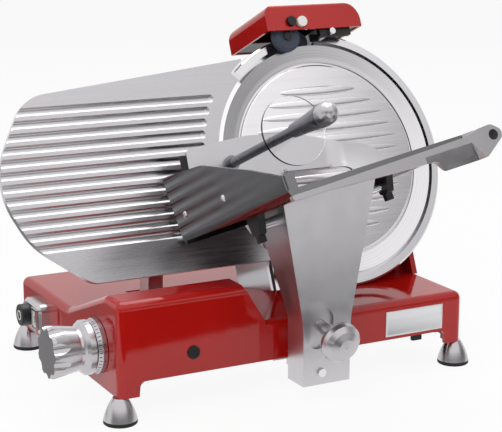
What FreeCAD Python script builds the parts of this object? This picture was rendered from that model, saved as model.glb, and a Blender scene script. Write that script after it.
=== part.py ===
import FreeCAD, Part
import math
import os

# Gravity-feed meat slicer: 250 mm tilted blade, hand-pushed carriage, belt drive.
# House frame while modelling: X along the front, Y to the back, Z up, origin on the table
# below the front left corner of the base. At the end everything is moved so that the origin
# is the centre of the overall box, on the table. Lengths are in millimetres, angles in degrees.

# ---- base casting ----
base_length = 389.0
base_depth = 274.0
base_wall = 5.0
deck_height = 79.5
skirt_height = 25.5          # lower edge of the base and top of the feet
front_gap_height = 40.0      # raised lower edge of the front wall, where the carriage foot passes
front_gap_inset = 22.0
front_gap_slant = 1.5
corner_radius = 8.0
edge_radius = 7.5
ridge_height = 118.5
ridge_flat = 34.0            # depth of the flat top of the control ridge
ridge_foot = 135.0           # where the ramp behind it reaches the deck
ridge_top_length = 131.0
ridge_length = 155.0

# ---- feet ----
foot_inset_x = 4.0
foot_inset_front, foot_inset_back = 8.5, 5.5
foot_radius = 16.4
foot_neck_radius = 7.0
foot_bell_radius, foot_bell_height = 13.4, 13.6
rim_height = 4.0
stud_radius = 2.5
foot_boss_radius = 6.0

# ---- blade, cover and ring guard, in the blade frame: x right, y up the slope, z to the operator ----
tilt = 22.5
blade_x, blade_y, blade_z = 297.0, 121.0, 209.0
blade_radius = 125.0
bevel_width = 13.0
blade_thickness = 3.0
blade_dish = 4.0             # depth of the blade's face behind its edge
recess_radius = 106.4        # the cover lies in this recess of the blade
blade_hole_radius = 20.0
cover_radius = 103.9
cover_thickness = 1.8
cover_gap = 0.8              # between the cover and the blade face
cover_boss_radius = 14.0
cover_rib_pitch = 13.6
cover_rib_count = 12
cover_rib_reach = 88.0
cover_rib_half = 2.2
guard_gap = 4.0              # between the blade's edge and the ring guard
guard_inner = blade_radius + guard_gap
guard_radius = 138.5
guard_depth = 12.8
guard_front = -0.5
guard_start, guard_end = -124.0, 132.5
guard_web = 3.0
guard_hole_radius = 44.0
stone_gap_left, stone_gap_right = -51.0, 5.5   # the rim's front half is cut away here, over the stones
hone_window_front = -4.5

# ---- drive ----
pulley_radius = 36.0
pulley_width = 24.0
motor_pulley_radius = 11.0
belt_width = 14.0
belt_thickness = 3.0
belt_gap = 0.35
bearing_outer = 16.0
bearing_width = 9.0
running = 0.05               # radial clearance of a running fit
switch_low_y, switch_high_y = base_depth - 88.0, base_depth - 34.0
switch_low_z, switch_high_z = 37.0, 69.0
switch_reach = 12.0
stop_y, stop_z = switch_low_y + 32.0, 53.0
start_y = switch_low_y + 10.5
spindle_radius = 10.0
spindle_bore = 4.6
tie_rod_radius = 4.0
tie_knob_radius = 15.0
motor_x, motor_y = 40.0, -66.0
motor_radius = 37.0
motor_length = 66.0
motor_shaft_radius = 6.0
screw_circle = 28.0

# ---- upright casting, in the blade frame ----
upright_left, upright_right = -68.0, 90.0
upright_front = -13.3         # the ring guard is screwed flat against it
upright_wall_front = -40.0
upright_back = -54.0
upright_shell = 6.0
hub_radius = 62.0
hub_shoulder = 2.0
housing_left, housing_right = -60.0, 84.0
housing_top = -21.0
housing_back = -128.0
housing_radius = 22.0
rear_cover_thickness = 3.0

# ---- gauge plate, in the blade frame ----
gauge_corners = [(-84, 115), (-328, 89.8), (-372, 8), (-342, -57), (-287, -100), (-70, -100)]
gauge_corner_radii = [0, 40, 80, 74, 21, 0]

gauge_thickness = 8.0
gauge_gap = 4.6              # between the blade's edge and the plate's hollow right edge
gauge_edge_radius = blade_radius + gauge_gap
groove_count = 12
groove_first = 75.0
groove_pitch = 12.36
groove_radius = 6.0
groove_half_width = 4.4
groove_end_radius = 145.0
gauge_travel = 15.0

# ---- index mechanism ----
index_y, index_z = 51.0, 65.0
index_shaft_radius = 6.0
dial_radius = 27.0
knob_radius = 25.5
knob_reach = 52.0
cam_x = 40.0
cam_thickness = 10.0
cam_radius = 26.0
cam_start_radius = 6.0
cam_turn = 330.0
follower_radius = 3.0
groove_clearance = 0.35
gauge_rod_radius = 5.0
gauge_rod_x = (68.0, 108.0)
gauge_rod_z = 58.0
gauge_rod_front, gauge_rod_back = 41.0, 214.0

# ---- carriage ----
slide_rod_radius = 8.0
slide_rod_y, slide_rod_z = 18.0, 46.0
guide_bar_radius = 5.0
guide_bar_z = 66.0
block_half = 30.0
carriage_x = 197.5
arm_front = -45.0
arm_back = -15.0
arm_top_back = 6.0
arm_half_foot = 26.0
arm_half_top = 52.0
arm_bottom = 24.0
arm_wall = 5.0
foot_slab = 12.0
block_top = 72.5

# ---- tray frame: turned about the blade's normal, origin at the rear left corner of the tray ----
tray_turn = 10.0
tray_x, tray_y, tray_z = -187.6, -66.6, 5.0
tray_width = 190.0
tray_depth = 236.0
tray_sheet = 2.0
tray_edge = 8.0
bend_radius = 10.0
tray_bar = 6.0
cross_rod_radius = 5.0
cross_rod_y, cross_rod_z = -17.0, 112.0

# ---- pusher, in the tray frame unless said ----
guide_x, guide_y = 205.0, -7.0
guide_radius = 5.0
slider_radius = 10.5
sleeve_radius = 8.0
slider_start, slider_length = 32.0, 34.0
slider_flange = 3.0
side_play = 0.3
pusher_z = 30.0              # blade frame: rear face of the pusher plate
pusher_sheet = 3.0
teeth_length = 2.5
handle_x, handle_y = -134.0, -1.5
handle_rod_radius = 5.0
guard_disc_radius = 33.0
guard_disc_z = 172.0


# ---- sharpener, in the blade frame ----
cap_left, cap_right = -57.0, 59.0
cap_bottom, cap_top = 138.0, 166.0
cap_back, cap_front = -71.0, 20.0
cap_side_radius, cap_end_radius, cap_rear_radius, cap_edge_radius = 11.0, 21.0, 14.0, 4.0
cap_wall = 3.0
clamp_x, clamp_y = 21.0, 134.3
stone_radius = 16.0
stone_x, stone_y = -31.0, 133.0
hone_radius = 12.0
hone_x, hone_y = -8.0, 131.5
sharpener_hub_low = 80.0
sharpener_post_radius = 6.0
sharpener_post_z = -47.0



def vec(x, y, z):
    return FreeCAD.Vector(x, y, z)


def block(x0, x1, y0, y1, z0, z1):
    return Part.makeBox(x1 - x0, y1 - y0, z1 - z0, vec(x0, y0, z0))


def rod(radius, start, end):
    a, b = vec(*start), vec(*end)
    return Part.makeCylinder(radius, a.distanceToPoint(b), a, b - a)


def tube(outer, inner, start, end):
    return rod(outer, start, end).cut(rod(inner, start, end))


def disc(radius, x, y, z0, z1):
    return rod(radius, (x, y, z0), (x, y, z1))


def rounded_wire(points, radii):
    """Closed outline through 2-D points; each corner becomes a tangent arc of its radius."""
    count = len(points)
    if not isinstance(radii, (list, tuple)):
        radii = [radii] * count
    corners = []
    for i, point in enumerate(points):
        corner = vec(point[0], point[1], 0)
        before = vec(*points[i - 1], 0) - corner
        after = vec(*points[(i + 1) % count], 0) - corner
        half = before.getAngle(after) / 2
        before.normalize()
        after.normalize()
        if radii[i] == 0:
            corners.append((corner, None, corner))
            continue
        reach = radii[i] / math.tan(half)
        middle = before + after
        middle.normalize()
        peak = corner + middle * (radii[i] / math.sin(half) - radii[i])
        corners.append((corner + before * reach, peak, corner + after * reach))
    edges = []
    for i, (start, peak, end) in enumerate(corners):
        if peak is not None:
            edges.append(Part.Arc(start, peak, end).toShape())
        following = corners[(i + 1) % count][0]
        if end.distanceToPoint(following) > 1e-6:
            edges.append(Part.LineSegment(end, following).toShape())
    return Part.Wire(edges)


def plate(points, radii, z0, z1):
    face = Part.Face(rounded_wire(points, radii))
    face.translate(vec(0, 0, z0))
    return face.extrude(vec(0, 0, z1 - z0))


def turned(points):
    """Solid of revolution about Z from (radius, height) points."""
    wire = Part.makePolygon([vec(r, 0, z) for r, z in points] + [vec(points[0][0], 0, points[0][1])])
    return Part.Face(wire).revolve(vec(0, 0, 0), vec(0, 0, 1), 360)


def turned_at(points, x, y):
    return placed(turned(points), frame(x, y, 0, (0, 0, 1), 0))


def frame(x, y, z, axis, angle):
    return FreeCAD.Placement(vec(x, y, z), FreeCAD.Rotation(vec(*axis), angle))


def placed(shape, placement):
    moved = shape.copy()
    moved.Placement = placement.multiply(moved.Placement)
    return moved


blade_frame = frame(blade_x, blade_y, blade_z, (1, 0, 0), 90 - tilt)
tray_frame = blade_frame.multiply(frame(tray_x, tray_y, tray_z, (0, 0, 1), tray_turn))

section_frame = frame(0, 0, 0, (1, 1, 1), 120)  # local X, Y, Z become Y, Z, X


def in_blade(shape):
    return placed(shape, blade_frame)


def in_tray(shape):
    return placed(shape, tray_frame)


def from_section(points, radii, x0, x1):
    """Outline in the Y-Z plane, extruded along X."""
    return placed(plate(points, radii, x0, x1), section_frame)


def from_front(points, radii, y0, y1):
    """Outline in the X-Z plane, extruded along Y."""
    return placed(plate(points, radii, -y1, -y0), frame(0, 0, 0, (1, 0, 0), 90))


def joined(shapes):
    solid = shapes[0].multiFuse(shapes[1:])
    return solid.removeSplitter()


def group(shapes):
    solids = []
    for shape in shapes:
        solids.extend(shape.Solids)
    return Part.makeCompound(solids)


# ---------------------------------------------------------------- base
def foot_places():
    near, far = foot_inset_x, base_length - foot_inset_x
    front, back = foot_inset_front, base_depth - foot_inset_back
    return [(near, front), (far, front), (near, back), (far, back)]


def deck_section(inset):
    i = inset
    low = skirt_height if i == 0 else skirt_height - 1
    points = [(i, low), (i, deck_height - i), (base_depth - i, deck_height - i), (base_depth - i, low)]
    return points, [0, corner_radius - i / 2, corner_radius - i / 2, 0]


def ridge_section(inset):
    i = inset
    low = skirt_height if i == 0 else skirt_height - 1
    points = [
        (i, low), (i, ridge_height - i), (ridge_flat - i / 3, ridge_height - i),
        (ridge_foot - i, deck_height - i), (base_depth - i, deck_height - i), (base_depth - i, low)]
    return points, [0, corner_radius - i / 2, 10, 20, corner_radius - i / 2, 0]


def ridge_end(inset):
    i = inset
    points = [
        (i, 0), (i, ridge_height + 9), (ridge_top_length - i, ridge_height + 9),
        (ridge_top_length - i, ridge_height - i), (ridge_length - i, deck_height - i), (ridge_length - i, 0)]
    return from_front(points, [0, 0, 0, 16, 12, 0], -1, base_depth + 1)


def base_body(inset):
    deck = from_section(*deck_section(inset), inset, base_length - inset)
    ridge = from_section(*ridge_section(inset), inset, ridge_length)
    return joined([deck, ridge.common(ridge_end(inset))])


def slide_ends():
    return [(base_wall - 1, base_wall + 12), (base_length - base_wall - 12, base_length - base_wall + 1)]


def base_bosses(envelope):
    bosses = []
    for x0, x1 in slide_ends():
        bosses.append(block(x0, x1, 2, slide_rod_y + 13, slide_rod_z - 13, deck_height - 2))
    bosses.append(block(2, 22, index_y - 11, index_y + 11, index_z - 11, index_z + 11))
    left, right = gauge_rod_x[0] - 9, gauge_rod_x[1] + 9
    bosses.append(block(left, right, gauge_rod_front, gauge_rod_front + 9, gauge_rod_z - 9, ridge_height))
    bosses.append(block(left, right, gauge_rod_back - 9, gauge_rod_back, gauge_rod_z - 9, deck_height))
    for x0, x1, x, y in cover_lugs():
        bosses.append(block(x0, x1, y - 7, y + 7, 31, 47))
    for x, y in foot_places():
        bosses.append(disc(foot_boss_radius, x, y, skirt_height, deck_height))
        bosses.append(block(*sorted((x, x + math.copysign(10, base_length / 2 - x))),
                            *sorted((y, y + math.copysign(10, base_depth / 2 - y))),
                            skirt_height, deck_height - 3))
    return [boss.common(envelope) for boss in bosses]


def base_holes():
    holes = [
        rod(slide_rod_radius, (base_wall - 3, slide_rod_y, slide_rod_z),
            (base_length - base_wall + 3, slide_rod_y, slide_rod_z)),
        rod(guide_bar_radius, (base_wall - 3, slide_rod_y, guide_bar_z),
            (base_length - base_wall + 3, slide_rod_y, guide_bar_z)),
        rod(index_shaft_radius + running, (-1, index_y, index_z), (30, index_y, index_z)),
        rod(5.2, (76.8, -1, 61), (76.8, base_wall + 1, 61)),
        block(76, 104, 108, 164, 70, 110),
        block(blade_x + housing_left + 8, blade_x + housing_right - 8, 138, 200, 60, deck_height + 1),
        block(-1, base_wall + 1, switch_low_y + 5, switch_high_y - 5, 41, 65),
        rod(8, (base_length / 2 + 40, base_depth - base_wall - 1, 52),
            (base_length / 2 + 40, base_depth + 1, 52)),
    ]
    for x in gauge_rod_x:
        holes.append(rod(gauge_rod_radius, (x, gauge_rod_front, gauge_rod_z), (x, gauge_rod_back - 3, gauge_rod_z)))
    near, far = front_gap_inset, base_length - front_gap_inset
    s = front_gap_slant
    gap = [(near - s, skirt_height - 1), (near, front_gap_height), (far, front_gap_height), (far + s, skirt_height - 1)]
    holes.append(from_front(gap, [0, 6, 6, 0], -1, base_wall + 2))
    return holes


def base_casting():
    outside = base_body(0)
    ends = [e for e in outside.Edges if e.BoundBox.XLength < 1e-3
            and (e.BoundBox.XMin < 1e-3 or e.BoundBox.XMin > base_length - 1e-3)
            and e.BoundBox.ZMax > skirt_height + 1e-3]
    outside = outside.makeFillet(edge_radius, ends)
    shell = outside.cut(base_body(base_wall))
    shell = joined([shell] + base_bosses(outside))
    studs = [disc(stud_radius, x, y, skirt_height - 1, skirt_height + 14) for x, y in foot_places()]
    return shell.cut(group(base_holes() + studs + upright_screw_shapes() + cover_screw_shapes()))


def cover_lugs():
    """Lugs on the end walls that hold the bottom cover: near wall, far end, screw place."""
    lugs = []
    for y in (112, base_depth - 89):
        lugs.append((base_wall - 1, 24, 16, y))
        lugs.append((base_length - 24, base_length - base_wall + 1, base_length - 16, y))
    return lugs


def cover_screw_shapes():
    return [joined([disc(4, x, y, 27, 29), disc(2, x, y, 29, 43)]) for _, _, x, y in cover_lugs()]


def foot_shape():
    """Bell-shaped foot with the stud that goes up into the base."""
    low, top = vec(foot_radius, 0, rim_height), vec(foot_neck_radius, 0, skirt_height)
    side = Part.Arc(low, vec(foot_bell_radius, 0, foot_bell_height), top).toShape()
    rest = [top, vec(stud_radius, 0, skirt_height), vec(stud_radius, 0, skirt_height + 14),
            vec(0, 0, skirt_height + 14), vec(0, 0, rim_height), low]
    face = Part.Face(Part.Wire([side] + Part.makePolygon(rest).Edges))
    return face.revolve(vec(0, 0, 0), vec(0, 0, 1), 360)


def feet():
    return group([placed(foot_shape(), frame(x, y, 0, (0, 0, 1), 0)) for x, y in foot_places()])


def foot_rims():
    profile = [(0, 0), (foot_radius - 0.8, 0), (foot_radius, 0.8), (foot_radius, rim_height), (0, rim_height)]
    return group([placed(turned(profile), frame(x, y, 0, (0, 0, 1), 0)) for x, y in foot_places()])


def rubber_buffers():
    """Plug of the front hole, stop under the front edge and the two rings on the slide rod."""
    plug = joined([rod(6.4, (76.8, -1.2, 61), (76.8, 0, 61)), rod(5.2, (76.8, -1, 61), (76.8, base_wall, 61))])
    pieces = [plug, block(328, 339, 0.8, base_wall, 34.2, front_gap_height)]
    (x0, x1), (x2, x3) = slide_ends()
    for start, end in ((x1, x1 + 7), (x2 - 7, x2)):
        pieces.append(tube(12.5, slide_rod_radius, (start, slide_rod_y, slide_rod_z), (end, slide_rod_y, slide_rod_z)))
    return group(pieces)


def bottom_cover():
    sheet = block(base_wall + 1, base_length - base_wall - 1, 88, base_depth - base_wall - 1, 29, 31)
    corners = [block(x - 22, x + 22, y - 25, y + 25, 20, 40) for x, y in foot_places()]
    return sheet.cut(group(corners + cover_screw_shapes()))


# ---------------------------------------------------------------- upright and drive
def upright_outline(inset):
    i = inset
    shoulder = hub_shoulder
    return [(upright_left + i, -190), (upright_left + i, -70), (-hub_radius + i, shoulder + 40),
            (-hub_radius + i, hub_radius + 8 - i), (hub_radius - i, hub_radius + 8 - i),
            (hub_radius - i, shoulder + 20), (upright_right - i, -70), (upright_right - i, -190)]


def upright_radii(inset):
    return [0, 60, 60, 48 - inset / 2, 48 - inset / 2, 40, 40, 0]


def housing_outline(inset):
    i = inset
    return [(housing_left + i, -190), (housing_left + i, housing_top - i),
            (housing_right - i, housing_top - i), (housing_right - i, -190)]


def above_deck(shape):
    return shape.cut(block(-100, 600, -200, 500, -200, deck_height))


def upright_screw_places():
    return [(242, 105), (374, 105), (248, 196), (370, 196)]


def upright_screw_shapes():
    screws = []
    for x, y in upright_screw_places():
        screws.append(joined([disc(6, x, y, deck_height - base_wall - 4, deck_height - base_wall),
                              disc(3, x, y, deck_height - base_wall, deck_height + 5)]))
    return screws


def upright_casting():
    front = plate(upright_outline(0), upright_radii(0), upright_back, upright_front)
    back = plate(housing_outline(0), [0, housing_radius, housing_radius, 0], housing_back, upright_back + 1)
    body = above_deck(in_blade(joined([front, back])))
    belt_room = plate(upright_outline(upright_shell), upright_radii(upright_shell),
                      upright_wall_front, upright_front + 1)
    motor_room = plate(housing_outline(4), [0, housing_radius - 4, housing_radius - 4, 0],
                       housing_back - 1, upright_back + 6)
    bores = [disc(spindle_radius, 0, 0, -80, 0), disc(19, motor_x, motor_y, -60, -30)]
    socket = rod(sharpener_post_radius, (0, 24, sharpener_post_z), (0, 120, sharpener_post_z))
    bosses = [rod(11, (0, 50, sharpener_post_z), (0, sharpener_hub_low - 2, sharpener_post_z))]
    for x, y in guard_screw_places():
        bosses.append(disc(7, x, y, upright_wall_front - 1, upright_front))
    for x, y in rear_screw_places():
        bosses.append(disc(6, x, y, housing_back, housing_back + 14))
    hollow = body.cut(in_blade(group([belt_room, motor_room])))
    pads = [disc(8, x, y, deck_height, deck_height + 6).common(body) for x, y in upright_screw_places()]
    hollow = joined([hollow] + [in_blade(b) for b in bosses] + pads)
    tilted = bores + [socket] + spindle_screw_shapes() + motor_screw_shapes() + rear_screw_shapes()
    tilted += guard_screw_shapes()
    return hollow.cut(group([in_blade(s) for s in tilted] + upright_screw_shapes()))


def fixing_screws():
    """Screws of the casting, spindle, motor, rear cover, bottom cover and ring guard."""
    tilted = spindle_screw_shapes() + motor_screw_shapes() + rear_screw_shapes() + guard_screw_shapes()
    return group(upright_screw_shapes() + cover_screw_shapes() + [in_blade(s) for s in tilted])


def spindle_screw_shapes():
    shapes = []
    for x, y in ((-17, -13), (17, -13), (-17, 13), (17, 13)):
        shapes.append(joined([disc(4.5, x, y, upright_back - 9, upright_back - 6),
                              disc(2.5, x, y, upright_back - 6, upright_back + 8)]))
    return shapes


def spindle():
    flange = plate([(-24, -20), (-24, 20), (24, 20), (24, -20)], 8, upright_back - 6, upright_back)
    shaft = disc(spindle_radius, 0, 0, upright_back - 22, blade_back() - 1)
    body = joined([flange, shaft]).cut(disc(spindle_bore, 0, 0, -90, 0))
    return body.cut(group(spindle_screw_shapes()))


def bearing_starts():
    front = -blade_dish - blade_thickness - 5 - bearing_width
    back = -blade_dish - blade_thickness - 4 - pulley_width
    return [front, back]


def hub_bearings():
    rings = []
    for z in bearing_starts():
        profile = [(spindle_radius, z), (bearing_outer - 0.8, z), (bearing_outer, z + 0.8),
                   (bearing_outer, z + bearing_width - 0.8), (bearing_outer - 0.8, z + bearing_width),
                   (spindle_radius, z + bearing_width)]
        rings.append(turned(profile))
    return group(rings)


def blade_back():
    return -blade_dish - blade_thickness


def blade_screw_shapes():
    screws = []
    face = -blade_dish
    for k in range(4):
        angle = math.radians(45 + 90 * k)
        head = turned([(0, face), (5, face), (2.5, face - 2.5), (2.5, face - 14), (0, face - 14)])
        screws.append(placed(head, frame(screw_circle * math.cos(angle), screw_circle * math.sin(angle), 0, (0, 0, 1), 0)))
    return screws


def blade_disc():
    front_inner = blade_radius - bevel_width
    profile = [(blade_hole_radius, -blade_dish), (recess_radius, -blade_dish), (recess_radius + 0.4, -2.5),
               (front_inner, -1.9), (blade_radius, 0), (blade_radius, -0.25), (front_inner, -3.4),
               (102, blade_back()), (blade_hole_radius, blade_back())]
    return turned(profile).cut(group(blade_screw_shapes()))


def blade_pulley():
    front = blade_back()
    back = front - 4 - pulley_width
    profile = [(bearing_outer + running, front), (38, front), (38, front - 4), (pulley_radius, front - 4),
               (pulley_radius, back), (bearing_outer + running, back)]
    return turned(profile).cut(group(blade_screw_shapes()))


def belt_back():
    return blade_back() - 4 - pulley_width + 3


def motor_pulley():
    z = belt_back()
    pulley = disc(motor_pulley_radius, motor_x, motor_y, z - 1, z + belt_width + 1)
    shaft = disc(motor_shaft_radius, motor_x, motor_y, upright_back + 6 - 20, z + belt_width + 4)
    return joined([pulley, shaft])


def loop_face(radius_a, radius_b):
    """Outline of a belt round the two pulleys, as a face."""
    run = math.hypot(motor_x, motor_y)
    heading = math.atan2(motor_y, motor_x)
    lean = math.acos((radius_a - radius_b) / run)
    a1 = vec(radius_a * math.cos(heading + lean), radius_a * math.sin(heading + lean), 0)
    a2 = vec(radius_a * math.cos(heading - lean), radius_a * math.sin(heading - lean), 0)
    b1 = vec(motor_x + radius_b * math.cos(heading + lean), motor_y + radius_b * math.sin(heading + lean), 0)
    b2 = vec(motor_x + radius_b * math.cos(heading - lean), motor_y + radius_b * math.sin(heading - lean), 0)
    far_a = vec(-radius_a * math.cos(heading), -radius_a * math.sin(heading), 0)
    far_b = vec(motor_x + radius_b * math.cos(heading), motor_y + radius_b * math.sin(heading), 0)
    return Part.Face(Part.Wire([Part.LineSegment(a1, b1).toShape(), Part.Arc(b1, far_b, b2).toShape(),
                                Part.LineSegment(b2, a2).toShape(), Part.Arc(a2, far_a, a1).toShape()]))


def drive_belt():
    inner = belt_gap
    outer = belt_gap + belt_thickness
    loop = loop_face(pulley_radius + outer, motor_pulley_radius + outer).cut(
        loop_face(pulley_radius + inner, motor_pulley_radius + inner))
    loop.translate(vec(0, 0, belt_back()))
    return loop.extrude(vec(0, 0, belt_width))


def motor_screw_shapes():
    shapes = []
    for k in range(4):
        angle = math.radians(45 + 90 * k)
        x, y = motor_x + 27 * math.cos(angle), motor_y + 27 * math.sin(angle)
        shapes.append(joined([disc(4.5, x, y, upright_wall_front, upright_wall_front + 3),
                              disc(2.5, x, y, upright_back - 2, upright_wall_front)]))
    return shapes


def motor_body():
    front = upright_back + 6
    back = front - motor_length
    r = motor_radius
    profile = [(motor_shaft_radius + running, front), (r - 5, front), (r, front - 5), (r, back + 8), (r - 8, back),
               (0, back), (0, front - 25), (motor_shaft_radius + running, front - 25)]
    body = placed(turned(profile), frame(motor_x, motor_y, 0, (0, 0, 1), 0))
    return body.cut(group(motor_screw_shapes()))


def rear_screw_places():
    return [(housing_left + 9, -45), (housing_right - 9, -45)]


def rear_screw_shapes():
    shapes = []
    for x, y in rear_screw_places():
        z = housing_back - rear_cover_thickness
        shapes.append(joined([disc(3.6, x, y, z - 2.4, z), disc(1.8, x, y, z, z + 12)]))
    return shapes


def rear_cover():
    sheet = plate(housing_outline(0), [0, housing_radius, housing_radius, 0],
                  housing_back - rear_cover_thickness, housing_back)
    slots = []
    for k in range(7):
        x = motor_x - 30 + 10 * k
        slots.append(plate([(x - 2, -72), (x - 2, -36), (x + 2, -36), (x + 2, -72)], 1.99,
                           housing_back - 9, housing_back + 1))
    return above_deck(in_blade(sheet.cut(group(slots + rear_screw_shapes()))))


# ---------------------------------------------------------------- guard and cover disc
def sector(radius, start, end, z0, z1):
    angles = [math.radians(start + (end - start) * k / 12) for k in range(13)]
    points = [(0, 0)] + [(radius * math.cos(a), radius * math.sin(a)) for a in angles]
    return plate(points, 0, z0, z1)


def guard_screw_places():
    return [(-40, -70), (66, -100), (66, -40), (-36, 40), (36, 40)]


def guard_screw_shapes():
    screws = []
    back = guard_front - guard_depth
    for x, y in guard_screw_places():
        head = turned([(0, back + 3), (4.5, back + 3), (2.2, back + 0.7), (2.2, back - 12), (0, back - 12)])
        screws.append(placed(head, frame(x, y, 0, (0, 0, 1), 0)))
    return screws


def ring_guard():
    back = guard_front - guard_depth
    rim = turned([(guard_inner, back), (guard_radius, back), (guard_radius, guard_front - 2),
                  (guard_radius - 2, guard_front), (guard_inner, guard_front)])
    web = disc(guard_inner + 1, 0, 0, back, back + guard_web).cut(disc(guard_hole_radius, 0, 0, back - 1, 0))
    body = joined([rim, web]).common(sector(400, guard_start, guard_end, back - 1, 1))
    notch = block(stone_gap_left, stone_gap_right, 60, 150, back + guard_web + 3, 5)
    half = hone_radius + 8
    window = block(hone_x - half, hone_x + half, 100, 150, back - 1, hone_window_front)
    return above_deck(in_blade(body.cut(group([notch, window] + guard_screw_shapes()))))


def rib_spindle(x0, x1, y, z, half_width):
    """Slim round rib with tapering ends."""
    middle = (x0 + x1) / 2
    a, b, c = vec(x0, 0, 0), vec(middle, half_width, 0), vec(x1, 0, 0)
    face = Part.Face(Part.Wire([Part.Arc(a, b, c).toShape(), Part.LineSegment(c, a).toShape()]))
    body = face.revolve(vec(x0, 0, 0), vec(1, 0, 0), 360)
    body.translate(vec(0, y, z))
    return body


def blade_cover():
    back = -blade_dish + cover_gap
    face = back + cover_thickness
    profile = [(0, back), (cover_radius - 1, back), (cover_radius, back + 0.6), (cover_radius, face - 0.6),
               (cover_radius - 1.5, face), (0, face)]
    body = turned(profile)
    boss = disc(cover_boss_radius, 0, 0, blade_back() - 1, back)
    ribs = []
    start = cover_rib_pitch * (cover_rib_count - 1) / 2
    for k in range(cover_rib_count):
        y = start - cover_rib_pitch * k
        half = math.sqrt(cover_rib_reach ** 2 - y ** 2)
        rib = rib_spindle(-half, half + 4, y, face - 0.9, cover_rib_half)
        ribs.append(rib.common(disc(cover_radius, 0, 0, back, 5)))
    body = joined([body, boss] + ribs)
    return body.cut(disc(tie_rod_radius + running, 0, 0, -20, back + side_play))


def cover_tie_rod():
    knob_front = upright_back - 22 - side_play
    back = knob_front - 18
    shaft = disc(tie_rod_radius, 0, 0, knob_front - 1, -blade_dish + cover_gap)
    lobes = []
    for k in range(5):
        angle = math.radians(72 * k)
        x, y = 0.62 * tie_knob_radius * math.cos(angle), 0.62 * tie_knob_radius * math.sin(angle)
        lobes.append(disc(0.38 * tie_knob_radius, x, y, back, knob_front))
    knob = joined([disc(9, 0, 0, back, knob_front)] + lobes)
    return joined([shaft, knob])


def slice_deflector():
    """Curved sheet beside the belt housing that turns the slices down onto the deck."""
    x = upright_left
    path = [(x, -52), (x, -24.3), (x - 13, -24.3), (x - 41.2, -48.7), (x - 40, -50), (x - 13, -26), (x - 1.6, -26),
            (x - 1.6, -52)]
    sheet = plate([(a, -b) for a, b in path], [0, 0, 11.5, 0, 0, 10, 0, 0], -150, 30)
    sheet = placed(sheet, frame(0, 0, 0, (1, 0, 0), -90))
    return above_deck(in_blade(sheet))


# ---------------------------------------------------------------- gauge plate and index
def gauge_outline_face():
    return Part.Face(rounded_wire(gauge_corners, gauge_corner_radii))


def gauge_plate():
    body = gauge_outline_face()
    body.translate(vec(0, 0, -gauge_thickness))
    body = body.extrude(vec(0, 0, gauge_thickness))
    back_room = disc(gauge_edge_radius, 0, 0, -gauge_thickness - 1, 1)
    past_guard = disc(guard_radius + 2, 0, 0, -gauge_thickness - 1, 1).common(
        sector(400, 0, guard_end + 2, -gauge_thickness - 1, 1))
    height = math.sqrt(groove_radius ** 2 - groove_half_width ** 2)
    grooves = []
    for k in range(groove_count):
        y = groove_first - groove_pitch * k
        end = -math.sqrt(groove_end_radius ** 2 - y ** 2) - groove_half_width
        grooves.append(rod(groove_radius, (-400, y, height), (end, y, height)))
        grooves.append(Part.makeSphere(groove_radius, vec(end, y, height)))
    body = body.cut(group([back_room, past_guard]))
    for groove in grooves:
        body = body.cut(groove)
    return body.cut(group(gauge_screw_shapes()))


def gauge_screw_shapes():
    screws = []
    for x in (-224, -180):
        for y in (-58, -22):
            z = -gauge_thickness - 6
            screws.append(joined([disc(4.5, x, y, z - 4, z), disc(2.5, x, y, z, z + 11)]))
    return screws


def gauge_pins():
    """Screws of the gauge plate and the pin that follows the cam."""
    return group([in_blade(s) for s in gauge_screw_shapes()] + [follower_shape()])


def slope_point(y, z):
    """Y and Z in the house frame of a blade-frame height and depth."""
    point = blade_frame.multVec(vec(0, y, z))
    return point.y, point.z


def gauge_support():
    """Bracket from the slide block up through the deck slot to the back of the gauge plate."""
    z = -gauge_thickness
    head = plate([(-236, -70), (-236, -8), (-168, -8), (-168, -70)], 8, z - 6, z)
    web_points = [(118, 68), (140, 68), (138, 112), slope_point(-12, z - 3), slope_point(-66, z - 3), (116, 106)]
    web = from_section(web_points, [0, 0, 20, 0, 0, 20], 82, 98)
    foot = block(70, 106, 112, 148, gauge_rod_z + 6, gauge_rod_z + 13)
    body = joined([in_blade(head), web, foot])
    return body.cut(group([in_blade(s) for s in gauge_screw_shapes()]))


def gauge_block_shape():
    body = block(58, 118, 110, 150, gauge_rod_z - 10, gauge_rod_z + 6)
    finger = block(56, 62, 51, 114, gauge_rod_z - 2, gauge_rod_z + 14)
    bores = [rod(gauge_rod_radius + running, (x, 0, gauge_rod_z), (x, 260, gauge_rod_z)) for x in gauge_rod_x]
    return joined([body, finger]).cut(group(bores + [follower_shape()]))


def follower_shape():
    y = index_y + cam_start_radius
    return rod(follower_radius, (cam_x + 4.6, y, index_z), (62, y, index_z))


def gauge_rods():
    return group([rod(gauge_rod_radius, (x, gauge_rod_front, gauge_rod_z), (x, gauge_rod_back - 3, gauge_rod_z))
                  for x in gauge_rod_x])


def spiral_point(turn, offset):
    """Point of the cam groove's wall, turned back from the follower by an angle in degrees."""
    radius = cam_start_radius + gauge_travel * turn / cam_turn
    slope = gauge_travel / math.radians(cam_turn)
    angle = math.radians(turn)
    length = math.hypot(radius, slope)
    y = radius * math.cos(angle) + offset * (radius * math.cos(angle) + slope * math.sin(angle)) / length
    z = -radius * math.sin(angle) - offset * (radius * math.sin(angle) - slope * math.cos(angle)) / length
    return vec(cam_x + 4, index_y + y, index_z + z)


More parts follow.
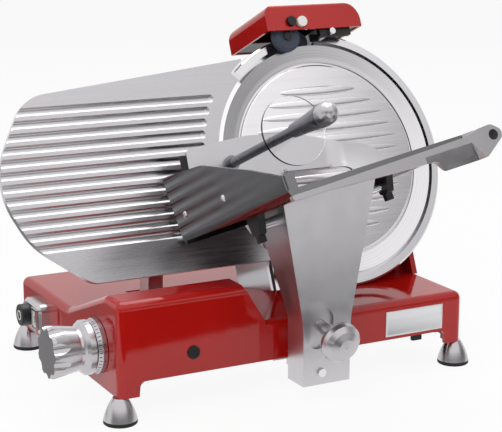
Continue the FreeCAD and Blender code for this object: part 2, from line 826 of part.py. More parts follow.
def cam_groove():
    reach = follower_radius + groove_clearance
    turns = [-38 + (cam_turn + 54) * k / 40 for k in range(41)]
    outer, inner = Part.BSplineCurve(), Part.BSplineCurve()
    outer_points = [spiral_point(t, reach) for t in turns]
    inner_points = [spiral_point(t, -reach) for t in turns]
    outer.interpolate(outer_points)
    inner.interpolate(inner_points)
    wire = Part.Wire([outer.toShape(), Part.LineSegment(outer_points[-1], inner_points[-1]).toShape(),
                      inner.toShape(), Part.LineSegment(inner_points[0], outer_points[0]).toShape()])
    return Part.Face(wire).extrude(vec(cam_thickness, 0, 0))


def index_cam():
    body = rod(cam_radius, (cam_x, index_y, index_z), (cam_x + cam_thickness, index_y, index_z))
    return joined([body.cut(cam_groove()), index_shaft()])


def index_shaft():
    return rod(index_shaft_radius, (-knob_reach + 30, index_y, index_z), (cam_x + 4, index_y, index_z))


def index_dial():
    profile = [(index_shaft_radius + running, 0.6), (dial_radius, 0.6), (dial_radius, 5), (dial_radius - 2.5, 9),
               (index_shaft_radius + running, 9)]
    dial = placed(turned(profile), frame(0, index_y, index_z, (0, 1, 0), -90))
    return dial.cut(index_shaft())


def index_knob():
    profile = [(0, 9), (23.5, 9), (26.5, 11), (26.5, 16.5), (24, 19.5), (21.5, 21.5), (21.5, 24), (23.5, 36),
               (knob_radius, knob_reach - 3.5), (knob_radius - 1.2, knob_reach), (0, knob_reach)]
    flutes = []
    for k in range(9):
        angle = math.radians(40 * k + 12)
        near, far = knob_radius + 7.5, knob_radius + 3
        flutes.append(rod(7.5, (near * math.cos(angle), near * math.sin(angle), 22),
                          (far * math.cos(angle), far * math.sin(angle), knob_reach + 2)))
    knob = placed(turned(profile).cut(group(flutes)), frame(0, index_y, index_z, (0, 1, 0), -90))
    return knob.cut(index_shaft())


# ---------------------------------------------------------------- switch
def switch_housing():
    y0, y1, z0, z1 = switch_low_y, switch_high_y, switch_low_z, switch_high_z
    body = from_section([(y0, z0), (y0, z1), (y1, z1), (y1, z0)], [10, 8, 16, 10], -switch_reach, 0)
    body = body.makeChamfer(3.5, [e for e in body.Edges if e.BoundBox.XMax < 1 - switch_reach])
    tail = block(0, 28, y0 + 6, y1 - 6, 42, 64)
    bezel = block(-switch_reach - 2, -switch_reach, start_y - 8, start_y + 8, 41.5, 64.5)
    rooms = [rod(12, (-switch_reach - 1, stop_y, stop_z), (6, stop_y, stop_z)),
             block(-switch_reach - 3, 6, start_y - 5.5, start_y + 5.5, 43.5, 62.5)]
    return joined([body, tail, bezel]).cut(group(rooms))


def start_button():
    return block(-switch_reach - 1, 2, start_y - 5.1, start_y + 5.1, 43.9, 62.1)


def stop_button():
    cap = rod(11.6, (-22, stop_y, stop_z), (2, stop_y, stop_z))
    return cap.makeFillet(1.2, [e for e in cap.Edges if e.BoundBox.XMax < -21])


def power_inlet():
    x = base_length / 2 + 40
    nut = rod(11, (x, base_depth, 52), (x, base_depth + 6, 52))
    tail = rod(8, (x, base_depth - 12, 52), (x, base_depth, 52))
    cone = Part.makeCone(9, 6.5, 14, vec(x, base_depth + 6, 52), vec(0, 1, 0))
    return joined([nut, tail, cone]).cut(rod(3.5, (x, base_depth - 20, 52), (x, base_depth + 30, 52)))


# ---------------------------------------------------------------- carriage
def arm_front_shape(inset, top):
    i = inset
    c = carriage_x
    points = [(c - arm_half_foot + i, arm_bottom - 1), (c - arm_half_foot + i, 85), (c - arm_half_top + i, top),
              (c + arm_half_top - i, top), (c + arm_half_foot - i, 85), (c + arm_half_foot - i, arm_bottom - 1)]
    return from_front(points, [0, 150, 0, 0, 150, 0], arm_front - 1, 60)


def arm_side_shape(inset, front):
    i = inset
    points = [(front, arm_bottom), (front, 250), (arm_top_back - i + 24, 250), (arm_top_back - i, 150),
              (arm_back - i, 92), (arm_back - i, arm_bottom)]
    return from_section(points, [0, 0, 0, 30, 40, 0], carriage_x - 70, carriage_x + 70)


def carriage_arm():
    outside = arm_front_shape(0, 225).common(arm_side_shape(0, arm_front))
    room = arm_front_shape(arm_wall, 225).common(arm_side_shape(-40, arm_front + arm_wall))
    room = room.cut(block(0, 400, -100, 100, 0, arm_bottom + foot_slab))
    above_tray = in_tray(block(-100, 400, -tray_sheet, 300, -60, 400))
    body = outside.cut(room)
    slab = block(carriage_x - 6, carriage_x + 14, arm_back - 2, slide_rod_y + 6, arm_bottom, arm_bottom + foot_slab)
    rod_cut = in_tray(rod(cross_rod_radius, (0, cross_rod_y, cross_rod_z), (240, cross_rod_y, cross_rod_z)))

    body = joined([body, slab]).cut(above_tray).cut(rod_cut)
    return body.cut(group([arm_knob_bore(), arm_recess()] + arm_screw_shapes() + carriage_screw_shapes()))


def arm_knob_line():
    """Centre of the stem where it leaves the arm, and the direction it points in."""
    lean = math.radians(12)
    return carriage_x - 6, arm_front, 82.0, (0.05, -math.cos(lean), -math.sin(lean))


def arm_knob_bore():
    x, y, z, way = arm_knob_line()
    return rod(6 + running, (x - way[0] * 20, y - way[1] * 20, z - way[2] * 20),
               (x + way[0] * 5, y + way[1] * 5, z + way[2] * 5))


def arm_recess():
    c = carriage_x
    outline = [(c - 19, 60), (c - 19, 101), (c + 7, 101), (c + 7, 82), (c - 1, 74), (c - 1, 60)]
    return from_front(outline, [8.9, 12.9, 12.9, 4, 4, 8.9], arm_front - 1, arm_front + 3)


def arm_knob():
    x, y, z, way = arm_knob_line()
    profile = [(0, -14), (6, -14), (6, 17), (8.5, 18), (8.5, 21), (14, 23), (18.5, 27), (20, 32), (19.2, 37),
               (15, 41.5), (8, 44), (0, 44.6)]
    turn = FreeCAD.Rotation(vec(0, 0, 1), vec(*way))
    return placed(turned(profile), FreeCAD.Placement(vec(x, y, z), turn))


def arm_screw_shapes():
    x, z = carriage_x - 6, 36.0
    return [joined([rod(4.2, (x, arm_front - 2.5, z), (x, arm_front, z)),
                    rod(2.5, (x, arm_front, z), (x, arm_front + arm_wall, z))])]


def carriage_screw_shapes():
    screws = []
    for dx in (-1.5, 9.5):
        x, y = carriage_x + dx, 9.0
        screws.append(joined([disc(3.2, x, y, arm_bottom - 2, arm_bottom), disc(1.5, x, y, arm_bottom, 41)]))
    return screws


def carriage_screws():
    return group(carriage_screw_shapes() + arm_screw_shapes())


def slide_block():
    low = arm_bottom + foot_slab
    body = block(carriage_x - block_half, carriage_x + block_half, 7, 30, low, block_top)
    bores = [rod(slide_rod_radius + running, (0, slide_rod_y, slide_rod_z), (400, slide_rod_y, slide_rod_z)),
             rod(guide_bar_radius + running, (0, slide_rod_y, guide_bar_z), (400, slide_rod_y, guide_bar_z))]
    relief = block(carriage_x - 14, carriage_x + 14, 0, 40, slide_rod_z + 11, block_top + 1)
    return body.cut(group(bores + carriage_screw_shapes() + [relief]))


def slide_rod():
    return rod(slide_rod_radius, (base_wall - 3, slide_rod_y, slide_rod_z),
               (base_length - base_wall + 3, slide_rod_y, slide_rod_z))


def guide_bar():
    return rod(guide_bar_radius, (base_wall - 3, slide_rod_y, guide_bar_z),
               (base_length - base_wall + 3, slide_rod_y, guide_bar_z))


def guide_bracket(z0, z1):
    """Ear at the tray's right side that holds the pusher's guide rod."""
    x, y = guide_x, guide_y
    outline = [(tray_width, -tray_edge), (tray_width, 0), (x - 5, y + 7.5), (x + 8, y + 7.5), (x + 8, y - 8)]
    return plate(outline, [0, 2, 6, 6.5, 6], z0, z1)


def edge_bend():
    """Quarter-round bend between the tray's bottom and its left side sheet."""
    d, r = tray_depth, bend_radius
    ring = tube(r, r - tray_sheet, (r - tray_sheet, 0, 3), (r - tray_sheet, 0, d))
    side = plate([(-3, 0), (-3, -4), (-d, -r - 1), (-d, 0)], 0, -tray_sheet - 1, r - tray_sheet)
    return ring.common(placed(side, frame(0, 0, 0, (0, 1, 0), 90)))


def tray():
    """Polished sheet: bottom with folded edges and the rear bracket of the guide rod."""
    d = tray_depth
    sheet = block(-1, tray_width, -tray_sheet, 0, 3, d)
    right_fold = block(tray_width - tray_sheet, tray_width, -tray_edge, 0, 3, d)
    rear_fold = block(0, tray_width, -tray_edge, 0, 3, 3 + tray_sheet)
    front_fold = block(0, tray_width, -9.5, 0, d - tray_sheet, d)
    pieces = [sheet, right_fold, rear_fold, front_fold, edge_bend(), guide_bracket(5, 11)]
    return joined(pieces).cut(pusher_rod())


def tray_wall_outline():
    d = tray_depth
    return [(3, 0), (3, 63), (50, 59.5), (92, 56), (182, 30.5), (228, 15), (d, 13), (d, 0)]


def tray_wall():
    """Left side sheet of the tray; outline in depth and height, folded at its front edge."""
    d = tray_depth
    sheet = plate(tray_wall_outline(), [2, 5, 60, 40, 40, 10, 1, 0], 0, tray_sheet)
    # local X (depth) -> tray Z, local Y (height) -> tray Y, local Z (thickness) -> tray -X
    sheet = placed(sheet, frame(0, 0, 0, (0, 1, 0), -90))
    front_fold = block(-tray_sheet, 9, 0, 13, d - tray_sheet, d)
    corner = block(-3, 1, -1, 20, d - 3, d + 1).cut(rod(3, (1, -2, d - 3), (1, 21, d - 3)))
    return joined([sheet, front_fold]).cut(corner)


def handle_outline():
    """Front bar with the handle's lobe at its right end, from the left lower corner round."""
    points = [(-3, -11), (-3, -6), (26, -6), (150, -4.2), (189, -3.2), (206, 0.5), (221, 1.5), (231, -6),
              (230, -13), (207, -27), (163, -27), (155.5, -16.3), (100, -14.6), (40, -11.5)]
    return points, [2, 2, 0, 0, 20, 12, 9, 6, 6, 6, 6, 8, 0, 0]


def handle_slope():
    """What comes off the lobe's front: a slope from the bar's lower edge back to the grip's."""
    front, back = tray_depth + tray_bar, tray_depth - tray_bar
    points = [(-front - 1, -10), (-front, -10), (-back, -27.2), (-back, -29), (-front - 1, -29)]
    slope = placed(plate(points, 0, 140, 206), frame(0, 0, 0, (0, 1, 0), 90))
    left = plate([(140, -9), (193.5, -9), (205.5, -27.5), (205.5, -30), (140, -30)], 0, back - 1, front + 1)
    return slope.common(left)


def tray_handle():
    """Cast front bar with the handle at its right end."""
    front, back = tray_depth + tray_bar, tray_depth - tray_bar
    outline, radii = handle_outline()
    bar = plate(outline, radii, tray_depth, front)
    room = joined([block(152, 240, -30, -10, back, tray_depth + 1),
                   block(tray_width + 0.5, 240, -30, 10, back, tray_depth + 1)])
    grip = plate(outline, radii, back, tray_depth + 1).common(room)
    body = joined([bar, grip]).cut(handle_slope())
    body = joined([body, guide_bracket(back, tray_depth + 1)])
    return body.cut(group([pusher_rod(), disc(5, 220.6, -8.8, back - 1, front + 1)]))


def tray_cross_rod():
    y, z = cross_rod_y, cross_rod_z
    return rod(cross_rod_radius, (24, y, z), (174, y, z))


def tray_lugs():
    """Two lugs under the tray, held on the cross rod."""
    y, z = cross_rod_y, cross_rod_z
    top = -y - tray_sheet
    lugs = []
    for x0, x1 in ((20, 28), (170, 178)):
        outline = [(-10, top), (18, top), (7, -8), (3, -9), (3, -16), (-3, -16), (-3, -9), (-7, -8)]
        body = plate([(-a, b) for a, b in outline][::-1], 1.5, x0, x1)
        body = placed(body, FreeCAD.Placement(vec(0, y, z), FreeCAD.Rotation(vec(0, 1, 0), 90)))
        lugs.append(body)
    return group(lugs).cut(tray_cross_rod())


def pusher_rod():
    return disc(guide_radius, guide_x, guide_y, 7, tray_depth)


# ---------------------------------------------------------------- pusher
def guide_in_blade():
    a = math.radians(tray_turn)
    x = tray_x + guide_x * math.cos(a) - guide_y * math.sin(a)
    y = tray_y + guide_x * math.sin(a) + guide_y * math.cos(a)
    return x, y


def pusher_slider():
    z0, z1 = slider_start, slider_start + slider_length
    sleeve = disc(sleeve_radius, guide_x, guide_y, z0, z1)
    flanges = [disc(slider_radius, guide_x, guide_y, z0, z0 + slider_flange),
               disc(slider_radius, guide_x, guide_y, z1 - slider_flange, z1)]
    return joined([sleeve] + flanges).cut(disc(guide_radius + running, guide_x, guide_y, 0, 300))


def pusher_ribbon():
    """Sheet of the pusher seen along the slope: flat, then swept to the operator over the guide rod."""
    z = pusher_z
    t = pusher_sheet
    path = [(-181, z), (-12, z), (30, z + 36), (30 - t * 0.65, z + 36 + t * 0.76), (-13.1, z + t), (-181, z + t)]
    face = plate(path, [0, 33, 0, 0, 30, 0], -80, 60)
    # local Y -> blade Z, local Z -> blade -Y
    return placed(face, frame(0, 0, 0, (1, 0, 0), 90))


def pusher_outline():
    points = [(-181, -58), (-183, 17), (-113, 26), (-60, 25), (-14, 13), (12, 2), (30, -16), (29, -38), (3, -38),
              (-1, -16), (-76, -16), (-104, -44), (-150, -56)]
    return plate(points, [6, 10, 40, 60, 60, 20, 10, 4, 4, 12, 12, 20, 20], -10, 120)


def pusher_plate():
    x, y = guide_in_blade()
    ledge = block(-76, -22, -16, -13.5, pusher_z, pusher_z + 11)
    body = joined([pusher_ribbon().common(pusher_outline()), ledge])
    return body.cut(group([handle_shank(), disc(slider_radius, x, y, 0, 200)]))


def handle_shank():
    return disc(3, handle_x, handle_y, pusher_z - 3, pusher_z + pusher_sheet + 1)


def pusher_teeth():
    """Toothed strip that grips the food, on the blade side of the pusher."""
    z = pusher_z
    strip = block(-187, -158, -50, 12, z - 2, z)
    teeth = []
    for row in range(7):
        for x in (-183, -172.5, -162):
            tip = vec(x, -44 + 8.5 * row, z - 2)
            teeth.append(Part.makeCone(2.6, 0.6, teeth_length, tip, vec(0, 0, -1)))
    return joined([strip] + teeth)


def pusher_hub():
    x, y = guide_in_blade()
    z0 = tray_z + slider_start + slider_flange + side_play
    z1 = tray_z + slider_start + slider_length - slider_flange - side_play
    return tube(slider_radius, sleeve_radius + running, (x, y, z0), (x, y, z1))


def handle_rod():
    z = pusher_z + pusher_sheet
    return joined([disc(3, handle_x, handle_y, pusher_z - 2, z + 1),
                   disc(8, handle_x, handle_y, z, z + 4),
                   disc(handle_rod_radius, handle_x, handle_y, z, guard_disc_z + 40)])


def hand_guard():
    ring = disc(guard_disc_radius, handle_x, handle_y, guard_disc_z - 1.5, guard_disc_z + 1.5)
    return ring.cut(disc(handle_rod_radius, handle_x, handle_y, 0, 300))


def handle_grip():
    z = guard_disc_z + 1.5
    profile = [(handle_rod_radius, z), (6.9, z), (7.3, z + 6), (8.6, z + 30), (10.8, z + 52), (11, z + 56),
               (handle_rod_radius, z + 56), (0, z + 56), (0, guard_disc_z + 40), (handle_rod_radius, guard_disc_z + 40)]
    return placed(turned(profile), frame(handle_x, handle_y, 0, (0, 0, 1), 0))


def handle_cap():
    z = guard_disc_z + 57.5
    radius = 10.6
    profile = [(0, z), (radius, z), (radius, z + 6), (0.97 * radius, z + 8.5), (0.86 * radius, z + 12),
               (0.68 * radius, z + 15), (0.44 * radius, z + 17.2), (0.2 * radius, z + 18.2), (0, z + 18.4)]
    return placed(turned(profile), frame(handle_x, handle_y, 0, (0, 0, 1), 0))


# ---------------------------------------------------------------- sharpener
def cap_outline(inset):
    i = inset
    low = cap_bottom if i == 0 else cap_bottom - 1
    points = [(cap_left + i, low), (cap_left + i, cap_top - i), (cap_right - i, cap_top - i), (cap_right - i, low)]
    return points, [0, cap_side_radius - i, cap_end_radius - i, 0]


def cap_side(inset):
    """Side view of the cap: edge radius in front, a larger one at the rear."""
    i = inset
    low = cap_bottom - 2
    points = [(-cap_front + i, low), (-cap_front + i, cap_top - i), (-cap_back - i, cap_top - i), (-cap_back - i, low)]
    side = plate(points, [0, cap_edge_radius - i, cap_rear_radius - i, 0], cap_left - 1, cap_right + 1)
    return placed(side, frame(0, 0, 0, (0, 1, 0), 90))


def cap_form(inset):
    outline, radii = cap_outline(inset)
    return plate(outline, radii, cap_back - 1, cap_front + 1).common(cap_side(inset))


def button_places():
    """Grinding and honing push buttons in the front face: x, y and radius."""
    return [(-27.5, 147.0, 5.0), (-15.1, 146.0, 5.6)]


def sharpener_cap():
    holes = [disc(r + 0.4, x, y, 0, 40) for x, y, r in button_places()]
    return cap_form(0).cut(group([cap_form(cap_wall)] + holes))


def sharpener_frame():
    """Black carrier under the cap: floor, hub on the post, brackets of the hone and of the clamp screw."""
    floor = block(cap_left + cap_wall, cap_right - cap_wall, 139, 141.5, cap_back + cap_wall, cap_front - cap_wall)
    floor = floor.cut(block(-100, 6, 100, 200, -30, 18))
    hub = joined([rod(12, (0, sharpener_hub_low, sharpener_post_z), (0, 137.5, sharpener_post_z)),
                  rod(6.9, (0, 137, sharpener_post_z), (0, 141.5, sharpener_post_z))])
    clamp = block(8, 46, 130.5, 140, 9, 16)
    hone_arm = block(hone_x - 8, hone_x + 9, 124, 141, -38, -28)
    holes = [rod(sharpener_post_radius + running, (0, 60, sharpener_post_z), (0, 160, sharpener_post_z)),
             disc(3 + running, hone_x, hone_y, -60, 0), disc(2.5 + running, clamp_x, clamp_y, -7, 30)]
    return joined([floor, hub, clamp, hone_arm]).cut(group(holes))


def grind_button():
    """Push button, its stem and the carrier of the grinding stone."""
    x, y, r = button_places()[0]
    head = disc(r, x, y, cap_front - cap_wall + 0.5, cap_front + 4)
    stem = disc(3, x, y, 14, cap_front)
    carrier = disc(4.5, stone_x, stone_y, 13, 15)
    ear = block(stone_x - 2.5, stone_x + 4, stone_y, y + 3, 13, 15)
    return joined([head, stem, carrier, ear])


def grind_stone():
    return turned_at([(0, 5), (stone_radius - 1, 5), (stone_radius, 6), (stone_radius, 11), (stone_radius - 3, 13),
                      (0, 13)], stone_x, stone_y)


def hone_button():
    """Push button over the blade; a rocker under the cap turns its push towards the operator."""
    x, y, r = button_places()[1]
    return joined([disc(r, x, y, cap_front - cap_wall + 0.5, cap_front + 4), disc(3, x, y, -26, cap_front)])


def hone_stone():
    wheel = disc(hone_radius, hone_x, hone_y, -16, -7)
    return joined([wheel, disc(3, hone_x, hone_y, -40, -16)])


def sharpener_screw():
    return joined([disc(3.5, clamp_x, clamp_y, 16.3, 21.5), disc(2.5, clamp_x, clamp_y, -0.2, 17)])


def sharpener_post():
    return rod(sharpener_post_radius, (0, 24, sharpener_post_z), (0, 155, sharpener_post_z))


nodes = {}


def add(name, shape):
    nodes[name] = shape


def build_root():
    add("base_casting", base_casting())
    add("bottom_cover", bottom_cover())
    add("feet", feet())
    add("foot_rims", foot_rims())
    add("rubber_buffers", rubber_buffers())
    add("upright_casting", upright_casting())
    add("fixing_screws", fixing_screws())
    add("spindle", in_blade(spindle()))
    add("hub_bearings", in_blade(hub_bearings()))
    add("motor_body", in_blade(motor_body()))
    add("drive_belt", in_blade(drive_belt()))
    add("rear_cover", rear_cover())
    add("ring_guard", ring_guard())
    add("blade_cover", in_blade(blade_cover()))
    add("slice_deflector", slice_deflector())
    add("gauge_rods", gauge_rods())
    add("switch_housing", switch_housing())
    add("power_inlet", power_inlet())
    add("slide_rod", slide_rod())
    add("guide_bar", guide_bar())
    add("sharpener_post", in_blade(sharpener_post()))


def build_drive():
    add("blade", in_blade(blade_disc()))
    add("blade_pulley", in_blade(blade_pulley()))
    add("blade_screws", in_blade(group(blade_screw_shapes())))
    add("motor_pulley", in_blade(motor_pulley()))
    add("cover_tie_rod", in_blade(cover_tie_rod()))
    add("start_button", start_button())
    add("stop_button", stop_button())


def build_gauge():
    add("gauge_plate", in_blade(gauge_plate()))
    add("gauge_support", gauge_support())
    add("gauge_slide_block", gauge_block_shape())
    add("gauge_pins", gauge_pins())
    add("index_cam", index_cam())
    add("index_dial", index_dial())
    add("index_knob", index_knob())


def build_carriage():
    add("slide_block", slide_block())
    add("carriage_arm", carriage_arm())
    add("carriage_screws", carriage_screws())
    add("arm_knob", arm_knob())
    add("tray", in_tray(tray()))
    add("tray_wall", in_tray(tray_wall()))
    add("tray_handle", in_tray(tray_handle()))
    add("tray_cross_rod", in_tray(tray_cross_rod()))
    add("tray_lugs", in_tray(tray_lugs()))
    add("pusher_rod", in_tray(pusher_rod()))


def build_pusher():
    add("pusher_slider", in_tray(pusher_slider()))
    add("pusher_plate", in_blade(pusher_plate()))
    add("pusher_teeth", in_blade(pusher_teeth()))
    add("pusher_hub", in_blade(pusher_hub()))
    add("handle_rod", in_blade(handle_rod()))
    add("hand_guard", in_blade(hand_guard()))
    add("handle_grip", in_blade(handle_grip()))
    add("handle_cap", in_blade(handle_cap()))


def build_sharpener():
    add("sharpener_cap", in_blade(sharpener_cap()))
    add("sharpener_frame", in_blade(sharpener_frame()))
    add("grind_button", in_blade(grind_button()))
    add("grind_stone", in_blade(grind_stone()))
    add("hone_button", in_blade(hone_button()))
    add("hone_stone", in_blade(hone_stone()))
    add("sharpener_screw", in_blade(sharpener_screw()))


def origin_shift():
    whole = FreeCAD.BoundBox()
    for shape in nodes.values():
        whole.add(shape.BoundBox)
    return vec(-(whole.XMin + whole.XMax) / 2, -(whole.YMin + whole.YMax) / 2, -whole.ZMin)


def main():
    for stage in (build_root, build_drive, build_gauge, build_carriage, build_pusher, build_sharpener):
        stage()
    shift = origin_shift()
    os.makedirs("parts", exist_ok=True)
    for name, shape in nodes.items():
        shape.translate(shift)
        shape.exportStep("parts/" + name + ".step")


main()
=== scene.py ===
"""Finishes and small fittings of a gravity-feed meat slicer, on top of its CAD model."""

import math

import bmesh
import bpy
from bpy.props import FloatProperty, FloatVectorProperty, PointerProperty
from mathutils import Matrix, Vector


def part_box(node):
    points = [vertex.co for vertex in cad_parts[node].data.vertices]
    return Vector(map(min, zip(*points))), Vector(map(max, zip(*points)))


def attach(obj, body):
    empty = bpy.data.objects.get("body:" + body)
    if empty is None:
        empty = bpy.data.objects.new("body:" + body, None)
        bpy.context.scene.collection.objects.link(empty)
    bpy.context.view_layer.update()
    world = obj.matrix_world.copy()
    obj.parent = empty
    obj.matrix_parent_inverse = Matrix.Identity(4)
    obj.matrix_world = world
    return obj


bl_info = {
    "name": "Meat slicer finishes",
    "version": (1, 0, 0),
    "blender": (4, 5, 0),
    "location": "3D View > Sidebar > Slicer",
    "description": "Puts enamel, brushed metal and small fittings on a meat slicer",
    "category": "Object",
}

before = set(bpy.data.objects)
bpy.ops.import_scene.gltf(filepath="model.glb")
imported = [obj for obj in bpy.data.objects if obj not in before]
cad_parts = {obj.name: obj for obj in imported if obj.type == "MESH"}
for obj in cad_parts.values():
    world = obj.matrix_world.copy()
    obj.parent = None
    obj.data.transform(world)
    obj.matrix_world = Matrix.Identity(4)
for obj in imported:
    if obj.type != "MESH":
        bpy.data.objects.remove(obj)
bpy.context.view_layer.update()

# ---------------------------------------------------------------- places on the machine
# Places are measured from the base casting's lower left front corner, on the table.
base_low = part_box("base_casting")[0]
CORNER = Vector((base_low[0], base_low[1], 0.0))

# The blade's plane leans back by this much, and its axis points to the operator.
TILT = math.radians(22.5)
BLADE_CENTRE = CORNER + Vector((0.297, 0.121, 0.209))
BLADE_FRAME = Matrix.Translation(BLADE_CENTRE) @ Matrix.Rotation(math.pi / 2 - TILT, 4, "X")
# The same turn the other way lays a pattern in the blade's plane.
BLADE_LEAN = (TILT - math.pi / 2, 0, 0)

# The tray's side sheet is turned by this much in the blade's plane.
TRAY_TURN = math.radians(10)
TRAY_FRAME = (BLADE_FRAME @ Matrix.Translation((-0.1876, -0.0666, 0.005))
              @ Matrix.Rotation(TRAY_TURN, 4, "Z"))

# The blade cover's front face lies behind the blade's plane. Its ribs end on a circle.
COVER_FACE = -0.0014
COVER_RADIUS = 0.104
COVER_RISE = 0.0034  # how far the middle of its slight dome stands out
RIB_COUNT = 12
RIB_PITCH = 0.0136
RIB_CIRCLE_RADIUS = 0.088
RIB_SHIFT = 0.002  # of the rows, to the right of the blade's axis
RIB_ROOT = 0.05  # share of a rib's height that is sunk in the cover

# Fittings of the base, in millimetres from its corner.
PLATE_PLACE = (328.6, -0.4, 56.6)
STOP_MARK_PLACE = (-21.9, 218.0, 53.0)
START_MARK_PLACE = (-13.05, 196.5, 53.0)
DIAL_AXIS = (0.0, 51.0, 65.0)

# The dial's marks, from its axis. The lines lie on its cone, which narrows by 2.5 mm in 4 mm,
# and the numbers on its rim.
LINE_COUNT = 40
LINE_PLACE = (-0.007, 0, 0.02575)
LINE_SECTION = (0.0007, 0.0002)
DIAL_CONE = math.atan2(2.5, 4.0)
NUMBER_COUNT = 10
NUMBER_STEP = 2
NUMBER_PLACE = (-0.0028, 0, 0.02703)

# Fittings of the carriage, in the tray's frame.
RIVET_PLACES = ((-0.002, 0.020, 0.027), (-0.002, 0.018, 0.1159))
PLUG_PLACE = (0.2206, -0.0088, 0.2393)

# ---------------------------------------------------------------- the studio
FLOOR_RADIUS = 6.0
FLOOR_GLOW = 0.92  # share of plain white in the floor that is seen or mirrored
ROOM_LIGHT = 0.25  # the world's light on matt surfaces

# Each card's name, place, size, turn in degrees and colour.
CARDS = (("floor_flag", (0.334, -0.436, 0.004), (2.0, 0.2), -9.1, "#1c1c1e"),
         ("side_flag", (-0.47, 0.28, 0.004), (0.46, 0.5), 0, "#9a9a9a"),
         ("corner_flag", (-1.8, 2.8, 0.004), (2.0, 2.4), 0, "#58585a"))

# Each lamp's name, place, width and watts, and whether shiny surfaces mirror it.
LAMPS = (("key", (-1.6, -1.7, 2.2), 1.8, 42, False),
         ("fill", (2.2, -1.2, 1.3), 1.6, 16, False),
         ("top", (0.2, 0.6, 2.6), 2.2, 36, True))
LAMP_TARGET = Vector((0, 0, 0.18))

# The camera's place from the base's corner, how far it dips and turns, in degrees, and its
# focal length in pixels of a frame that is 502 pixels wide.
CAMERA_PLACE = (-0.48770, -1.19191, 0.49867)
CAMERA_DIP = 13.02
CAMERA_TURN = 27.72
FOCAL_PIXELS = 1452.74
FRAME_PIXELS = 502
SENSOR_WIDTH = 36.0


def linear(hex_colour):
    """Linear RGBA of an sRGB hex value such as '#8a1114'."""
    parts = [int(hex_colour[i:i + 2], 16) / 255 for i in (1, 3, 5)]
    return tuple(c / 12.92 if c <= 0.04045 else ((c + 0.055) / 1.055) ** 2.4
                 for c in parts) + (1.0,)


def colour(label, text, hex_colour):
    """Colour setting, given as an sRGB hex value."""
    return FloatVectorProperty(name=label, description=text, subtype="COLOR", size=4, min=0,
                               max=1, default=linear(hex_colour))


def length(label, text, metres):
    """Length setting."""
    return FloatProperty(name=label, description=text, default=metres, min=0.0,
                         subtype="DISTANCE", unit="LENGTH")


# ---------------------------------------------------------------- settings
class SlicerFinish(bpy.types.PropertyGroup):
    """Colours of the slicer's finishes"""
    enamel: colour("Enamel", "Stoved enamel on the castings", "#b0140f")
    aluminium: colour("Aluminium", "Satin ground aluminium", "#d2d0d3")
    bright_aluminium: colour("Polished aluminium", "Polished aluminium of knobs, feet and handle",
                             "#c2bfc2")
    plate_metal: colour("Plate", "Brushed and anodised gauge plate", "#cac8cb")
    cover_metal: colour("Cover", "Brushed blade cover", "#eae7ea")
    steel: colour("Steel", "Polished stainless steel", "#e3e1e4")
    dark_steel: colour("Handle steel", "Satin stainless of the handle's rod and grip", "#8b8b90")
    shaded_tray_steel: colour("Tray steel", "Mirror-buffed stainless of the tray", "#7b7b7c")
    # Painted reflection: the tray's stainless gets a colour much darker than stainless has, to
    # stand in for the dark surroundings it mirrors.
    label_metal: colour("Label", "Bare matt aluminium of the rating plate", "#e6e6e8")
    black: colour("Black plastic", "Moulded black plastic", "#141416")
    rubber: colour("Rubber", "Moulded rubber", "#0e0e0f")
    stone: colour("Abrasive", "Vitrified grinding wheel", "#4a5160")
    ivory: colour("White plastic", "Moulded white buttons", "#e9e8e2")


class SlicerFittings(bpy.types.PropertyGroup):
    """Sizes of the small fittings"""
    plate_width: length("Plate width", "Rating plate, along the front", 0.0695)
    plate_height: length("Plate height", "Rating plate, upright", 0.0265)
    plate_thickness: length("Plate thickness", "Rating plate sheet", 0.0008)
    mark_radius: length("Mark radius", "Ring on the stop button", 0.0047)
    rib_half_width: length("Rib half width", "Spindle-shaped ribs of the blade cover", 0.0050)
    rib_height: length("Rib height", "Ribs above the cover's face", 0.0018)
    tick_length: length("Tick length", "Lines of the thickness dial, along its axis", 0.0032)
    number_height: length("Number height", "Numbers of the thickness dial", 0.0030)
    rivet_radius: length("Rivet radius", "Domed rivets of the tray's side sheet", 0.0036)
    insert_radius: length("Insert radius", "Plug in the end of the tray handle", 0.0050)


# ---------------------------------------------------------------- node and material helpers
def feed(tree, node, inputs):
    """Sets a node's inputs, by name or in order. A node as a value links its first output."""
    for key, value in inputs.items() if isinstance(inputs, dict) else enumerate(inputs):
        if isinstance(value, bpy.types.Node):
            value = value.outputs[0]
        if isinstance(value, bpy.types.NodeSocket):
            tree.links.new(value, node.inputs[key])
        else:
            node.inputs[key].default_value = value


def add(tree, kind, inputs=(), **settings):
    """Adds a shader node with its settings, values and links."""
    node = tree.nodes.new(kind)
    for name, value in settings.items():
        setattr(node, name, value)
    feed(tree, node, inputs)
    return node


def new_material(name, inputs):
    """Makes a material with a Principled shader, and gives it, its node tree and the shader."""
    material = bpy.data.materials.new(name)
    material.use_nodes = True
    tree = material.node_tree
    surface = tree.nodes["Principled BSDF"]
    feed(tree, surface, inputs)
    return material, tree, surface


def place(tree, centre=(0, 0, 0), turn=(0, 0, 0), scale=(1, 1, 1)):
    """Object coordinates, centred and turned on a piece and scaled."""
    spot = add(tree, "ShaderNodeTexCoord").outputs["Object"]
    spot = add(tree, "ShaderNodeMapping", {"Vector": spot, "Location": [-c for c in centre]})
    spot = add(tree, "ShaderNodeMapping", {"Vector": spot, "Rotation": turn})
    return add(tree, "ShaderNodeMapping", {"Vector": spot, "Scale": scale})


def per_metre(grain):
    """Texture scale, as whole grains to the metre, from a grain's width in millimetres."""
    return round(1000 / grain)


# ---------------------------------------------------------------- materials
# Most values of a noise texture, and of two that are added up, lie between these.
NOISE = (0.3, 0.7)
TWO_NOISES = (0.7, 1.3)
# Stretches a pattern along the brushing: a scratch is 80 times as long as wide, a streak 30 times.
LONG_SCRATCH = (0.012, 1.0, 1.0)
LONG_STREAK = (0.03, 1.0, 1.0)
# Keeps what lies in a disc's plane and drops what lies along its axis.
IN_PLANE = (1.0, 1.0, 0.0)


